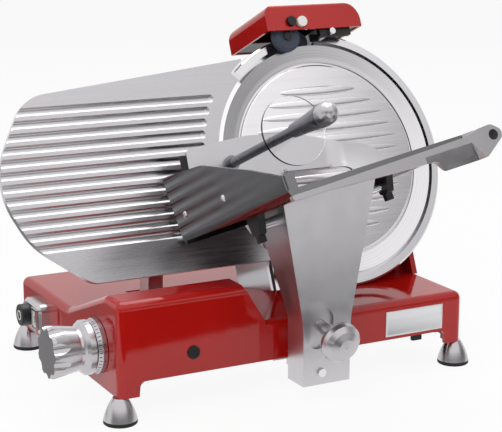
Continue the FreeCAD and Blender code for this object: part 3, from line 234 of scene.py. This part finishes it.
def stoved_enamel(finish):
    """Gloss enamel stoved on die-cast aluminium: deep colour, mirror-like at a low angle."""
    material, tree, surface = new_material("stoved_enamel", {"Roughness": 0.08, "IOR": 1.5})
    # The waves of its orange peel are 11 mm long, and its colour drifts over the width of a hand.
    peel = add(tree, "ShaderNodeTexNoise",
               {"Vector": place(tree), "Scale": per_metre(11.1), "Detail": 2.0})
    drift = add(tree, "ShaderNodeTexNoise",
                {"Vector": place(tree), "Scale": per_metre(111), "Detail": 1.0})
    value = add(tree, "ShaderNodeMapRange", (drift, *NOISE, 0.94, 1.06))
    feed(tree, surface, {
        "Base Color": add(tree, "ShaderNodeHueSaturation",
                          {"Color": finish.enamel, "Value": value}),
        "Roughness": add(tree, "ShaderNodeMapRange", (peel, *NOISE, 0.06, 0.1)),
        "Normal": add(tree, "ShaderNodeBump",
                      {"Height": peel, "Strength": 0.05, "Distance": 0.0008})})
    return material


def brushed(name, tint, turn, roughness):
    """Metal ground along one direction: fine scratches that stretch along the brushing."""
    material, tree, surface = new_material(name, {"Metallic": 1.0, "Roughness": roughness})
    # A belt of 180 grit leaves scratches 0.08 mm wide. They are drawn 0.38 mm wide, so that
    # they show, among streaks that are twelve times as wide.
    scratches_per_metre = per_metre(0.3846)
    scratches = add(tree, "ShaderNodeTexNoise",
                    {"Vector": place(tree, turn=turn, scale=LONG_SCRATCH),
                     "Scale": scratches_per_metre, "Detail": 3.0, "Roughness": 0.6})
    streaks = add(tree, "ShaderNodeTexNoise",
                  {"Vector": place(tree, turn=turn, scale=LONG_STREAK),
                   "Scale": scratches_per_metre / 12, "Detail": 2.0})
    both = add(tree, "ShaderNodeMath", (scratches, streaks), operation="ADD")
    value = add(tree, "ShaderNodeMapRange", (both, *TWO_NOISES, 0.93, 1.05))
    feed(tree, surface, {
        "Base Color": add(tree, "ShaderNodeHueSaturation", {"Color": tint, "Value": value}),
        "Roughness": add(tree, "ShaderNodeMapRange",
                         (both, 0.6, 1.4, roughness * 0.85, roughness * 1.2)),
        "Normal": add(tree, "ShaderNodeBump",
                      {"Height": scratches, "Strength": 0.03, "Distance": 0.0003})})
    return material


def domed(material, centre, turn, radius, rise):
    """Gives a brushed disc a dome that is too shallow to see except in its reflections."""
    tree = material.node_tree
    flat = add(tree, "ShaderNodeVectorMath", (place(tree, centre, turn), IN_PLANE),
               operation="MULTIPLY")
    square = add(tree, "ShaderNodeVectorMath", (flat, flat), operation="DOT_PRODUCT")
    height = add(tree, "ShaderNodeMapRange", (square.outputs["Value"], 0.0, radius ** 2, 1.0, 0.0))
    dome = add(tree, "ShaderNodeBump", {"Height": height, "Strength": 1.0, "Distance": rise})
    scratches = tree.nodes["Principled BSDF"].inputs["Normal"].links[0].from_node
    feed(tree, scratches, {"Normal": dome})
    return material


def satin_casting(tint, name="satin_aluminium", roughness=0.34):
    """Cast aluminium, tumbled and polished by hand: soft gloss with faint mottling."""
    material, tree, surface = new_material(name, {"Metallic": 1.0, "Roughness": roughness})
    # The mottling is 22 mm across. The marks of tumbling, 0.1 mm, are drawn 0.45 mm across.
    mottle = add(tree, "ShaderNodeTexNoise",
                 {"Vector": place(tree), "Scale": per_metre(22.2), "Detail": 4.0})
    grit = add(tree, "ShaderNodeTexNoise",
               {"Vector": place(tree), "Scale": per_metre(0.4545), "Detail": 2.0})
    value = add(tree, "ShaderNodeMapRange", (mottle, *NOISE, 0.95, 1.04))
    feed(tree, surface, {
        "Base Color": add(tree, "ShaderNodeHueSaturation", {"Color": tint, "Value": value}),
        "Roughness": add(tree, "ShaderNodeMapRange",
                         (mottle, *NOISE, roughness * 0.85, roughness * 1.15)),
        "Normal": add(tree, "ShaderNodeBump",
                      {"Height": grit, "Strength": 0.04, "Distance": 0.0003})})
    return material


def polished_steel(tint, name="polished_stainless", roughness=0.14):
    """Rolled stainless, mirror buffed: faint cloudy buffing marks, 33 mm across."""
    material, tree, surface = new_material(name, {"Metallic": 1.0, "Roughness": roughness})
    cloud = add(tree, "ShaderNodeTexNoise",
                {"Vector": place(tree), "Scale": per_metre(33.3), "Detail": 3.0})
    value = add(tree, "ShaderNodeMapRange", (cloud, *NOISE, 0.96, 1.03))
    feed(tree, surface, {
        "Base Color": add(tree, "ShaderNodeHueSaturation", {"Color": tint, "Value": value}),
        "Roughness": add(tree, "ShaderNodeMapRange",
                         (cloud, *NOISE, roughness * 0.75, roughness * 1.3))})
    return material


def turned_steel(name, tint, centre, turn):
    """Steel faced on a lathe or ground while it spins: rings round its axis."""
    material, tree, surface = new_material(name, {"Metallic": 1.0, "Roughness": 0.2})
    flat = add(tree, "ShaderNodeVectorMath", (place(tree, centre, turn), IN_PLANE),
               operation="MULTIPLY")
    radius = add(tree, "ShaderNodeVectorMath", (flat,), operation="LENGTH")
    # The tool's feed of 0.1 mm is drawn as rings 1.1 mm apart, so that they show.
    rings = add(tree, "ShaderNodeTexNoise",
                {"W": radius.outputs["Value"], "Scale": per_metre(1.111), "Detail": 3.0},
                noise_dimensions="1D")
    value = add(tree, "ShaderNodeMapRange", (rings, *NOISE, 0.9, 1.05))
    feed(tree, surface, {
        "Base Color": add(tree, "ShaderNodeHueSaturation", {"Color": tint, "Value": value}),
        "Normal": add(tree, "ShaderNodeBump",
                      {"Height": rings, "Strength": 0.08, "Distance": 0.0003})})
    return material


def moulded_plastic(name, tint, roughness, grain):
    """Injection-moulded plastic with the fine spark-eroded grain of its mould."""
    material, tree, surface = new_material(name, {"Base Color": tint, "Roughness": roughness,
                                                  "IOR": 1.5})
    # The grain of 0.1 mm is drawn 0.63 mm across, so that it shows.
    texture = add(tree, "ShaderNodeTexNoise",
                  {"Vector": place(tree), "Scale": per_metre(0.625), "Detail": 2.0})
    feed(tree, surface, {"Normal": add(tree, "ShaderNodeBump", {
        "Height": texture, "Strength": grain, "Distance": 0.0004})})
    return material


def moulded_rubber(finish):
    """Moulded nitrile rubber: dull, with a faint bloom in clouds of 4.5 mm."""
    material, tree, surface = new_material("moulded_rubber", {"Roughness": 0.7, "IOR": 1.5})
    bloom = add(tree, "ShaderNodeTexNoise",
                {"Vector": place(tree), "Scale": per_metre(4.55), "Detail": 3.0})
    value = add(tree, "ShaderNodeMapRange", (bloom, *NOISE, 0.8, 1.5))
    feed(tree, surface, {"Base Color": add(tree, "ShaderNodeHueSaturation", {
        "Color": finish.rubber, "Value": value})})
    return material


def bonded_abrasive(finish):
    """Vitrified grinding wheel: matt and rough, with light and dark grains."""
    material, tree, surface = new_material("bonded_abrasive", {"Roughness": 0.85, "IOR": 1.6})
    # The grains of 120 grit are 0.12 mm across. They are drawn 0.67 mm across, so that they show.
    grains = add(tree, "ShaderNodeTexVoronoi",
                 {"Vector": place(tree), "Scale": per_metre(0.6667)})
    value = add(tree, "ShaderNodeMapRange", (grains, 0.0, 0.7, 1.4, 0.6))
    feed(tree, surface, {
        "Base Color": add(tree, "ShaderNodeHueSaturation",
                          {"Color": finish.stone, "Value": value}),
        "Normal": add(tree, "ShaderNodeBump",
                      {"Height": grains, "Strength": 0.4, "Distance": 0.0004})})
    return material


def clear_acrylic():
    """Clear moulded acrylic: see-through with a sharp gloss."""
    return new_material("clear_acrylic", {"Base Color": linear("#ffffff"), "Roughness": 0.04,
                                          "IOR": 1.49, "Transmission Weight": 1.0})[0]


def coat(material, *nodes):
    """Gives CAD nodes a material."""
    for name in nodes:
        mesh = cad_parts[name].data
        mesh.materials.clear()
        mesh.materials.append(material)


# ---------------------------------------------------------------- modelling helpers
# A face looks along an axis when its normal's part along it is more than this.
FACING = 0.9


def start(name, kind, **settings):
    """Adds a primitive with nothing else selected and names it."""
    bpy.ops.object.select_all(action="DESELECT")
    getattr(bpy.ops.mesh, "primitive_" + kind + "_add")(**settings)
    piece = bpy.context.object
    piece.name = piece.data.name = name
    return piece


def pick_faces(piece, test=lambda face: True):
    """Goes into edit mode and selects the faces that pass a test, or all of them."""
    bpy.ops.object.mode_set(mode="EDIT")
    bpy.ops.mesh.select_mode(type="FACE")
    bpy.ops.mesh.select_all(action="DESELECT")
    mesh = bmesh.from_edit_mesh(piece.data)
    for face in mesh.faces:
        face.select = test(face)
    bmesh.update_edit_mesh(piece.data)


def stretch(piece, scale):
    """Scales the piece's mesh along its axes."""
    piece.scale = scale
    bpy.ops.object.transform_apply(location=False, rotation=False, scale=True)


def bevel(piece, width, segments=1):
    """Rounds the piece's sharp edges."""
    modifier = piece.modifiers.new("edges", "BEVEL")
    modifier.width = width
    modifier.segments = segments
    modifier.limit_method = "ANGLE"
    modifier.angle_limit = math.radians(30)
    bpy.ops.object.modifier_apply(modifier=modifier.name)


def settle(piece, matrix, body, material):
    """Moves the piece's mesh to its place, then gives it its material and body."""
    piece.data.transform(matrix @ piece.matrix_world)
    piece.matrix_world = Matrix.Identity(4)
    bpy.ops.object.select_all(action="DESELECT")
    piece.select_set(True)
    bpy.context.view_layer.objects.active = piece
    bpy.ops.object.shade_smooth_by_angle(angle=math.radians(35))
    piece.data.materials.clear()
    piece.data.materials.append(material)
    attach(piece, body)


def at(spot):
    """Matrix that moves to a place in millimetres from the base's corner."""
    return Matrix.Translation(CORNER + Vector(spot) / 1000)


# ---------------------------------------------------------------- operators
class SLICER_OT_castings(bpy.types.Operator):
    """Enamel on the base, upright and sharpener cap"""
    bl_idname = "slicer.castings"
    bl_label = "Castings"

    def execute(self, context):
        finish = context.scene.slicer_finish
        coat(stoved_enamel(finish), "base_casting", "upright_casting", "sharpener_cap")
        return {"FINISHED"}


class SLICER_OT_metals(bpy.types.Operator):
    """Ground, brushed and polished metals of the moving parts and fittings"""
    bl_idname = "slicer.metals"
    bl_label = "Metals"

    def execute(self, context):
        finish = context.scene.slicer_finish
        coat(brushed("brushed_plate", finish.plate_metal, BLADE_LEAN, roughness=0.27),
             "gauge_plate")
        cover = brushed("brushed_cover", finish.cover_metal, BLADE_LEAN, roughness=0.25)
        coat(domed(cover, BLADE_CENTRE, BLADE_LEAN, COVER_RADIUS, COVER_RISE), "blade_cover")
        coat(satin_casting(finish.aluminium), "carriage_arm", "pusher_plate", "pusher_hub",
             "index_cam", "gauge_support", "gauge_slide_block", "slide_block", "blade_pulley")
        coat(satin_casting(finish.bright_aluminium, "polished_aluminium", roughness=0.22),
             "index_knob", "feet", "switch_housing", "index_dial")
        coat(satin_casting(finish.bright_aluminium, "ground_aluminium", roughness=0.3),
             "tray_handle", "handle_cap", "arm_knob")
        coat(polished_steel(finish.dark_steel, "satin_stainless", roughness=0.3),
             "handle_rod", "handle_grip")
        # The tray and its side sheet take that darkened tint, a painted dark reflection rather
        # than the steel's own colour.
        coat(polished_steel(finish.shaded_tray_steel, "buffed_stainless_painted_dark", roughness=0.15),
             "tray_wall", "tray")
        coat(polished_steel(finish.steel), "tray_cross_rod", "pusher_rod", "slide_rod",
             "guide_bar", "gauge_rods", "spindle", "hub_bearings", "sharpener_post",
             "slice_deflector", "pusher_slider", "motor_pulley", "bottom_cover",
             "fixing_screws", "blade_screws", "gauge_pins", "carriage_screws",
             "sharpener_screw")
        coat(turned_steel("ground_steel", finish.steel, BLADE_CENTRE, BLADE_LEAN),
             "blade", "ring_guard")
        return {"FINISHED"}


class SLICER_OT_plastics(bpy.types.Operator):
    """Plastics, rubber, stones and the clear hand guard"""
    bl_idname = "slicer.plastics"
    bl_label = "Plastics and stones"

    def execute(self, context):
        finish = context.scene.slicer_finish
        coat(moulded_plastic("black_polyamide", finish.black, roughness=0.38, grain=0.15),
             "pusher_teeth", "sharpener_frame", "grind_button", "stop_button", "tray_lugs",
             "power_inlet", "cover_tie_rod", "rear_cover", "motor_body")
        coat(moulded_plastic("white_abs", finish.ivory, roughness=0.3, grain=0.05),
             "hone_button", "start_button")
        coat(moulded_rubber(finish), "foot_rims", "rubber_buffers", "drive_belt")
        coat(bonded_abrasive(finish), "grind_stone", "hone_stone")
        coat(clear_acrylic(), "hand_guard")
        return {"FINISHED"}


class SLICER_OT_rating_plate(bpy.types.Operator):
    """Bare bright plate on the front of the base"""
    bl_idname = "slicer.rating_plate"
    bl_label = "Rating plate"

    def execute(self, context):
        size = context.scene.slicer_fittings
        finish = context.scene.slicer_finish
        rim, step, step_depth = 0.0016, 0.0004, 0.0002
        piece = start("rating_plate", "cube", size=1)
        stretch(piece, (size.plate_width, size.plate_thickness, size.plate_height))
        pick_faces(piece, lambda face: face.normal.y < -FACING)
        bpy.ops.mesh.inset(thickness=rim, depth=0)
        bpy.ops.mesh.inset(thickness=step, depth=-step_depth)
        bpy.ops.object.mode_set(mode="OBJECT")
        bevel(piece, 0.0002)
        metal = brushed("bright_label", finish.label_metal, (0, 0, 0), roughness=0.42)
        settle(piece, at(PLATE_PLACE), "frame", metal)
        return {"FINISHED"}


class SLICER_OT_cover_ribs(bpy.types.Operator):
    """Wide spindle-shaped ribs pressed across the blade cover"""
    bl_idname = "slicer.cover_ribs"
    bl_label = "Cover ribs"

    def execute(self, context):
        size = context.scene.slicer_fittings
        metal = bpy.data.materials["brushed_cover"]
        for k in range(RIB_COUNT):
            across = RIB_PITCH * ((RIB_COUNT - 1) / 2 - k)
            half_length = math.sqrt(RIB_CIRCLE_RADIUS ** 2 - across ** 2)
            # A ball with its poles at the ends, cut flat at the back and drawn out to a spindle.
            piece = start("cover_rib_%d" % k, "uv_sphere", radius=1, segments=32, ring_count=32,
                          rotation=(0, math.pi / 2, 0))
            bpy.ops.object.transform_apply(location=False, rotation=True, scale=False)
            pick_faces(piece)
            bpy.ops.mesh.bisect(plane_co=(0, 0, -RIB_ROOT), plane_no=(0, 0, 1),
                                clear_inner=True, use_fill=True)
            bpy.ops.object.mode_set(mode="OBJECT")
            stretch(piece, (half_length, size.rib_half_width, size.rib_height))
            spot = BLADE_FRAME @ Matrix.Translation((RIB_SHIFT, across, COVER_FACE))
            settle(piece, spot, "frame", metal)
        return {"FINISHED"}


class SLICER_OT_rivets(bpy.types.Operator):
    """Domed rivets of the tray's side sheet"""
    bl_idname = "slicer.rivets"
    bl_label = "Tray rivets"

    def execute(self, context):
        size = context.scene.slicer_fittings
        finish = context.scene.slicer_finish
        steel = turned_steel("rivet_steel", finish.steel, (0, 0, 0), (0, 0, 0))
        for k, spot in enumerate(RIVET_PLACES):
            # Half a ball, with its dome pressed to half the height.
            piece = start("tray_rivet_%d" % k, "uv_sphere", radius=size.rivet_radius,
                          segments=24, ring_count=12)
            pick_faces(piece)
            bpy.ops.mesh.bisect(plane_co=(0, 0, 0), plane_no=(1, 0, 0), clear_outer=True,
                                use_fill=True)
            bpy.ops.object.mode_set(mode="OBJECT")
            stretch(piece, (0.5, 1, 1))
            settle(piece, TRAY_FRAME @ Matrix.Translation(spot), "carriage", steel)
        return {"FINISHED"}


class SLICER_OT_handle_insert(bpy.types.Operator):
    """Black plug in the end of the tray handle"""
    bl_idname = "slicer.handle_insert"
    bl_label = "Handle plug"

    def execute(self, context):
        size = context.scene.slicer_fittings
        finish = context.scene.slicer_finish
        plug_length, rim, dish = 0.0066, 0.0016, 0.0006
        piece = start("handle_plug", "cylinder", vertices=40, radius=size.insert_radius,
                      depth=plug_length)
        pick_faces(piece, lambda face: abs(face.normal.z) > FACING)
        bpy.ops.mesh.inset(thickness=rim, depth=-dish)
        bpy.ops.object.mode_set(mode="OBJECT")
        bevel(piece, 0.0003, segments=2)
        black = moulded_plastic("plug_black", finish.black, roughness=0.4, grain=0.1)
        settle(piece, TRAY_FRAME @ Matrix.Translation(PLUG_PLACE), "carriage", black)
        return {"FINISHED"}


class SLICER_OT_switch_marks(bpy.types.Operator):
    """Ring on the stop button and bar on the start button"""
    bl_idname = "slicer.switch_marks"
    bl_label = "Switch marks"

    def execute(self, context):
        size = context.scene.slicer_fittings
        finish = context.scene.slicer_finish
        ring_wire = 0.0007
        bar = (0.0003, 0.0012, 0.0068)
        white = moulded_plastic("mark_white", finish.ivory, roughness=0.4, grain=0.0)
        piece = start("stop_mark", "torus", major_radius=size.mark_radius,
                      minor_radius=ring_wire, major_segments=48, minor_segments=8,
                      rotation=(0, math.pi / 2, 0))
        settle(piece, at(STOP_MARK_PLACE), "stop_switch", white)
        black = moulded_plastic("mark_black", finish.black, roughness=0.4, grain=0.0)
        piece = start("start_mark", "cube", size=1)
        stretch(piece, bar)
        bevel(piece, 0.0001)
        settle(piece, at(START_MARK_PLACE), "start_switch", black)
        return {"FINISHED"}


class SLICER_OT_dial_marks(bpy.types.Operator):
    """Lines and numbers round the thickness dial"""
    bl_idname = "slicer.dial_marks"
    bl_label = "Dial marks"

    def execute(self, context):
        size = context.scene.slicer_fittings
        finish = context.scene.slicer_finish
        ink = moulded_plastic("dial_ink", finish.black, roughness=0.5, grain=0.0)
        axis = at(DIAL_AXIS)
        print_height = 0.00005
        piece = start("dial_lines", "cube", size=1)
        stretch(piece, (size.tick_length, *LINE_SECTION))
        bevel(piece, print_height)
        piece.data.transform(Matrix.Translation(LINE_PLACE) @ Matrix.Rotation(-DIAL_CONE, 4, "Y"))
        pick_faces(piece)
        bpy.ops.mesh.spin(steps=LINE_COUNT - 1, dupli=True, center=(0, 0, 0), axis=(1, 0, 0),
                          angle=math.tau * (LINE_COUNT - 1) / LINE_COUNT)
        bpy.ops.object.mode_set(mode="OBJECT")
        settle(piece, axis, "index", ink)
        for k in range(NUMBER_COUNT):
            bpy.ops.object.select_all(action="DESELECT")
            bpy.ops.object.text_add()
            text = context.object.data
            text.body = str(NUMBER_STEP * k)
            text.size = size.number_height
            text.align_x = text.align_y = "CENTER"
            text.extrude = print_height
            bpy.ops.object.convert(target="MESH")
            piece = context.object
            piece.name = piece.data.name = "dial_number_%d" % k
            round_dial = Matrix.Rotation(math.tau * k / NUMBER_COUNT, 4, "X")
            spot = axis @ (round_dial @ Matrix.Translation(NUMBER_PLACE))
            settle(piece, spot @ Matrix.Rotation(math.pi / 2, 4, "Z"), "index", ink)
        return {"FINISHED"}


class SLICER_OT_studio(bpy.types.Operator):
    """Pale floor, cards for the reflections, soft lamps and the camera"""
    bl_idname = "slicer.studio"
    bl_label = "Studio"

    def execute(self, context):
        scene = context.scene
        scene.view_settings.view_transform = "Standard"
        self.floor()
        self.cards()
        self.backdrop(scene)
        self.lamps(scene)
        self.camera(scene)
        return {"FINISHED"}

    def floor(self):
        """Matt pale floor, near white where it is seen or mirrored, that keeps its shadows."""
        piece = start("studio_floor", "circle", radius=FLOOR_RADIUS, vertices=64,
                      fill_type="NGON")
        material, tree, surface = new_material("pale_floor", {
            "Base Color": linear("#f4f4f4"), "Roughness": 0.9, "Specular IOR Level": 0.0})
        path = add(tree, "ShaderNodeLightPath")
        seen = add(tree, "ShaderNodeMath",
                   (path.outputs["Is Camera Ray"], path.outputs["Is Glossy Ray"]),
                   operation="MAXIMUM")
        seen = add(tree, "ShaderNodeMath", (seen, path.outputs["Is Transmission Ray"]),
                   operation="MAXIMUM")
        share = add(tree, "ShaderNodeMath", (seen, FLOOR_GLOW), operation="MULTIPLY")
        glow = add(tree, "ShaderNodeEmission", {"Color": (1, 1, 1, 1), "Strength": 1.0})
        mix = add(tree, "ShaderNodeMixShader", (share, surface, glow))
        feed(tree, tree.nodes["Material Output"], {"Surface": mix})
        piece.data.materials.append(material)

    def cards(self):
        """Dark and grey cards on the floor that only reflections see, to give metal its darks."""
        for name, spot, (width, depth), turn, shade in CARDS:
            piece = start(name, "plane", size=1, location=spot,
                          rotation=(0, 0, math.radians(turn)))
            piece.scale = (width, depth, 1)
            piece.data.materials.append(new_material(name + "_cloth", {
                "Base Color": linear(shade), "Roughness": 1.0, "Specular IOR Level": 0.0})[0])
            piece.visible_camera = piece.visible_diffuse = piece.visible_shadow = False
            piece.visible_transmission = False

    def backdrop(self, scene):
        """World that the camera sees white and shiny surfaces see as a studio."""
        world = bpy.data.worlds.new("studio")
        world.use_nodes = True
        scene.world = world
        tree = world.node_tree
        path = add(tree, "ShaderNodeLightPath")
        way = add(tree, "ShaderNodeSeparateXYZ",
                  (add(tree, "ShaderNodeTexCoord").outputs["Generated"],))
        # The room is white behind the machine. In front it is dim low down, bright above and
        # darker towards the right.
        behind = add(tree, "ShaderNodeMapRange", (way.outputs["Y"], -0.35, 0.1, 0.0, 1.0))
        above = add(tree, "ShaderNodeMapRange", (way.outputs["Z"], 0.2, 0.46, 0.26, 1.1))
        aside = add(tree, "ShaderNodeMapRange", (way.outputs["X"], 0.5, 0.64, 1.0, 0.45))
        front = add(tree, "ShaderNodeMath", (above, aside), operation="MULTIPLY")
        room = add(tree, "ShaderNodeMath", (behind, front), operation="MAXIMUM")
        mirrored = add(tree, "ShaderNodeMath", (path.outputs["Is Glossy Ray"], room),
                       operation="MULTIPLY")
        seen = add(tree, "ShaderNodeMath",
                   (path.outputs["Is Camera Ray"], path.outputs["Is Transmission Ray"]),
                   operation="MAXIMUM")
        most = add(tree, "ShaderNodeMath", (seen, mirrored), operation="MAXIMUM")
        strength = add(tree, "ShaderNodeMath", (most, ROOM_LIGHT), operation="MAXIMUM")
        feed(tree, tree.nodes["Background"], {"Color": (1, 1, 1, 1), "Strength": strength})

    def lamps(self, scene):
        """Soft lamps, turned to the machine."""
        for name, spot, width, watts, mirrored in LAMPS:
            lamp = bpy.data.objects.new(name, bpy.data.lights.new(name, "AREA"))
            lamp.data.size = width
            lamp.data.energy = watts
            lamp.visible_glossy = mirrored
            lamp.location = spot
            aim = LAMP_TARGET - Vector(spot)
            lamp.rotation_euler = aim.to_track_quat("-Z", "Y").to_euler()
            scene.collection.objects.link(lamp)

    def camera(self, scene):
        """Camera at the left front, a little above the machine."""
        camera = bpy.data.objects.new("camera", bpy.data.cameras.new("camera"))
        scene.collection.objects.link(camera)
        camera.location = CORNER + Vector(CAMERA_PLACE)
        camera.rotation_euler = (math.radians(90 - CAMERA_DIP), 0, math.radians(-CAMERA_TURN))
        camera.data.sensor_width = SENSOR_WIDTH
        camera.data.lens = FOCAL_PIXELS / FRAME_PIXELS * SENSOR_WIDTH
        camera.data.clip_start = 0.05
        camera.data.clip_end = 60
        scene.camera = camera


class SLICER_PT_panel(bpy.types.Panel):
    """Lists the settings and steps of the slicer's finish"""
    bl_label = "Slicer"
    bl_idname = "SLICER_PT_panel"
    bl_space_type = "VIEW_3D"
    bl_region_type = "UI"
    bl_category = "Slicer"

    def draw(self, context):
        for group in (context.scene.slicer_finish, context.scene.slicer_fittings):
            for name in group.__annotations__:
                self.layout.prop(group, name)
        for step in STEPS:
            self.layout.operator(step.bl_idname)


STEPS = (SLICER_OT_castings, SLICER_OT_metals, SLICER_OT_plastics, SLICER_OT_rating_plate,
         SLICER_OT_cover_ribs, SLICER_OT_rivets, SLICER_OT_handle_insert,
         SLICER_OT_switch_marks, SLICER_OT_dial_marks, SLICER_OT_studio)
CLASSES = (SlicerFinish, SlicerFittings) + STEPS + (SLICER_PT_panel,)


def register():
    for cls in CLASSES:
        bpy.utils.register_class(cls)
    bpy.types.Scene.slicer_finish = PointerProperty(type=SlicerFinish)
    bpy.types.Scene.slicer_fittings = PointerProperty(type=SlicerFittings)


def unregister():
    del bpy.types.Scene.slicer_fittings
    del bpy.types.Scene.slicer_finish
    for cls in reversed(CLASSES):
        bpy.utils.unregister_class(cls)


def main():
    """Makes the slicer's finish step by step."""
    register()
    for step in STEPS:
        group, name = step.bl_idname.split(".")
        getattr(getattr(bpy.ops, group), name)()


if __name__ == "__main__":
    main()
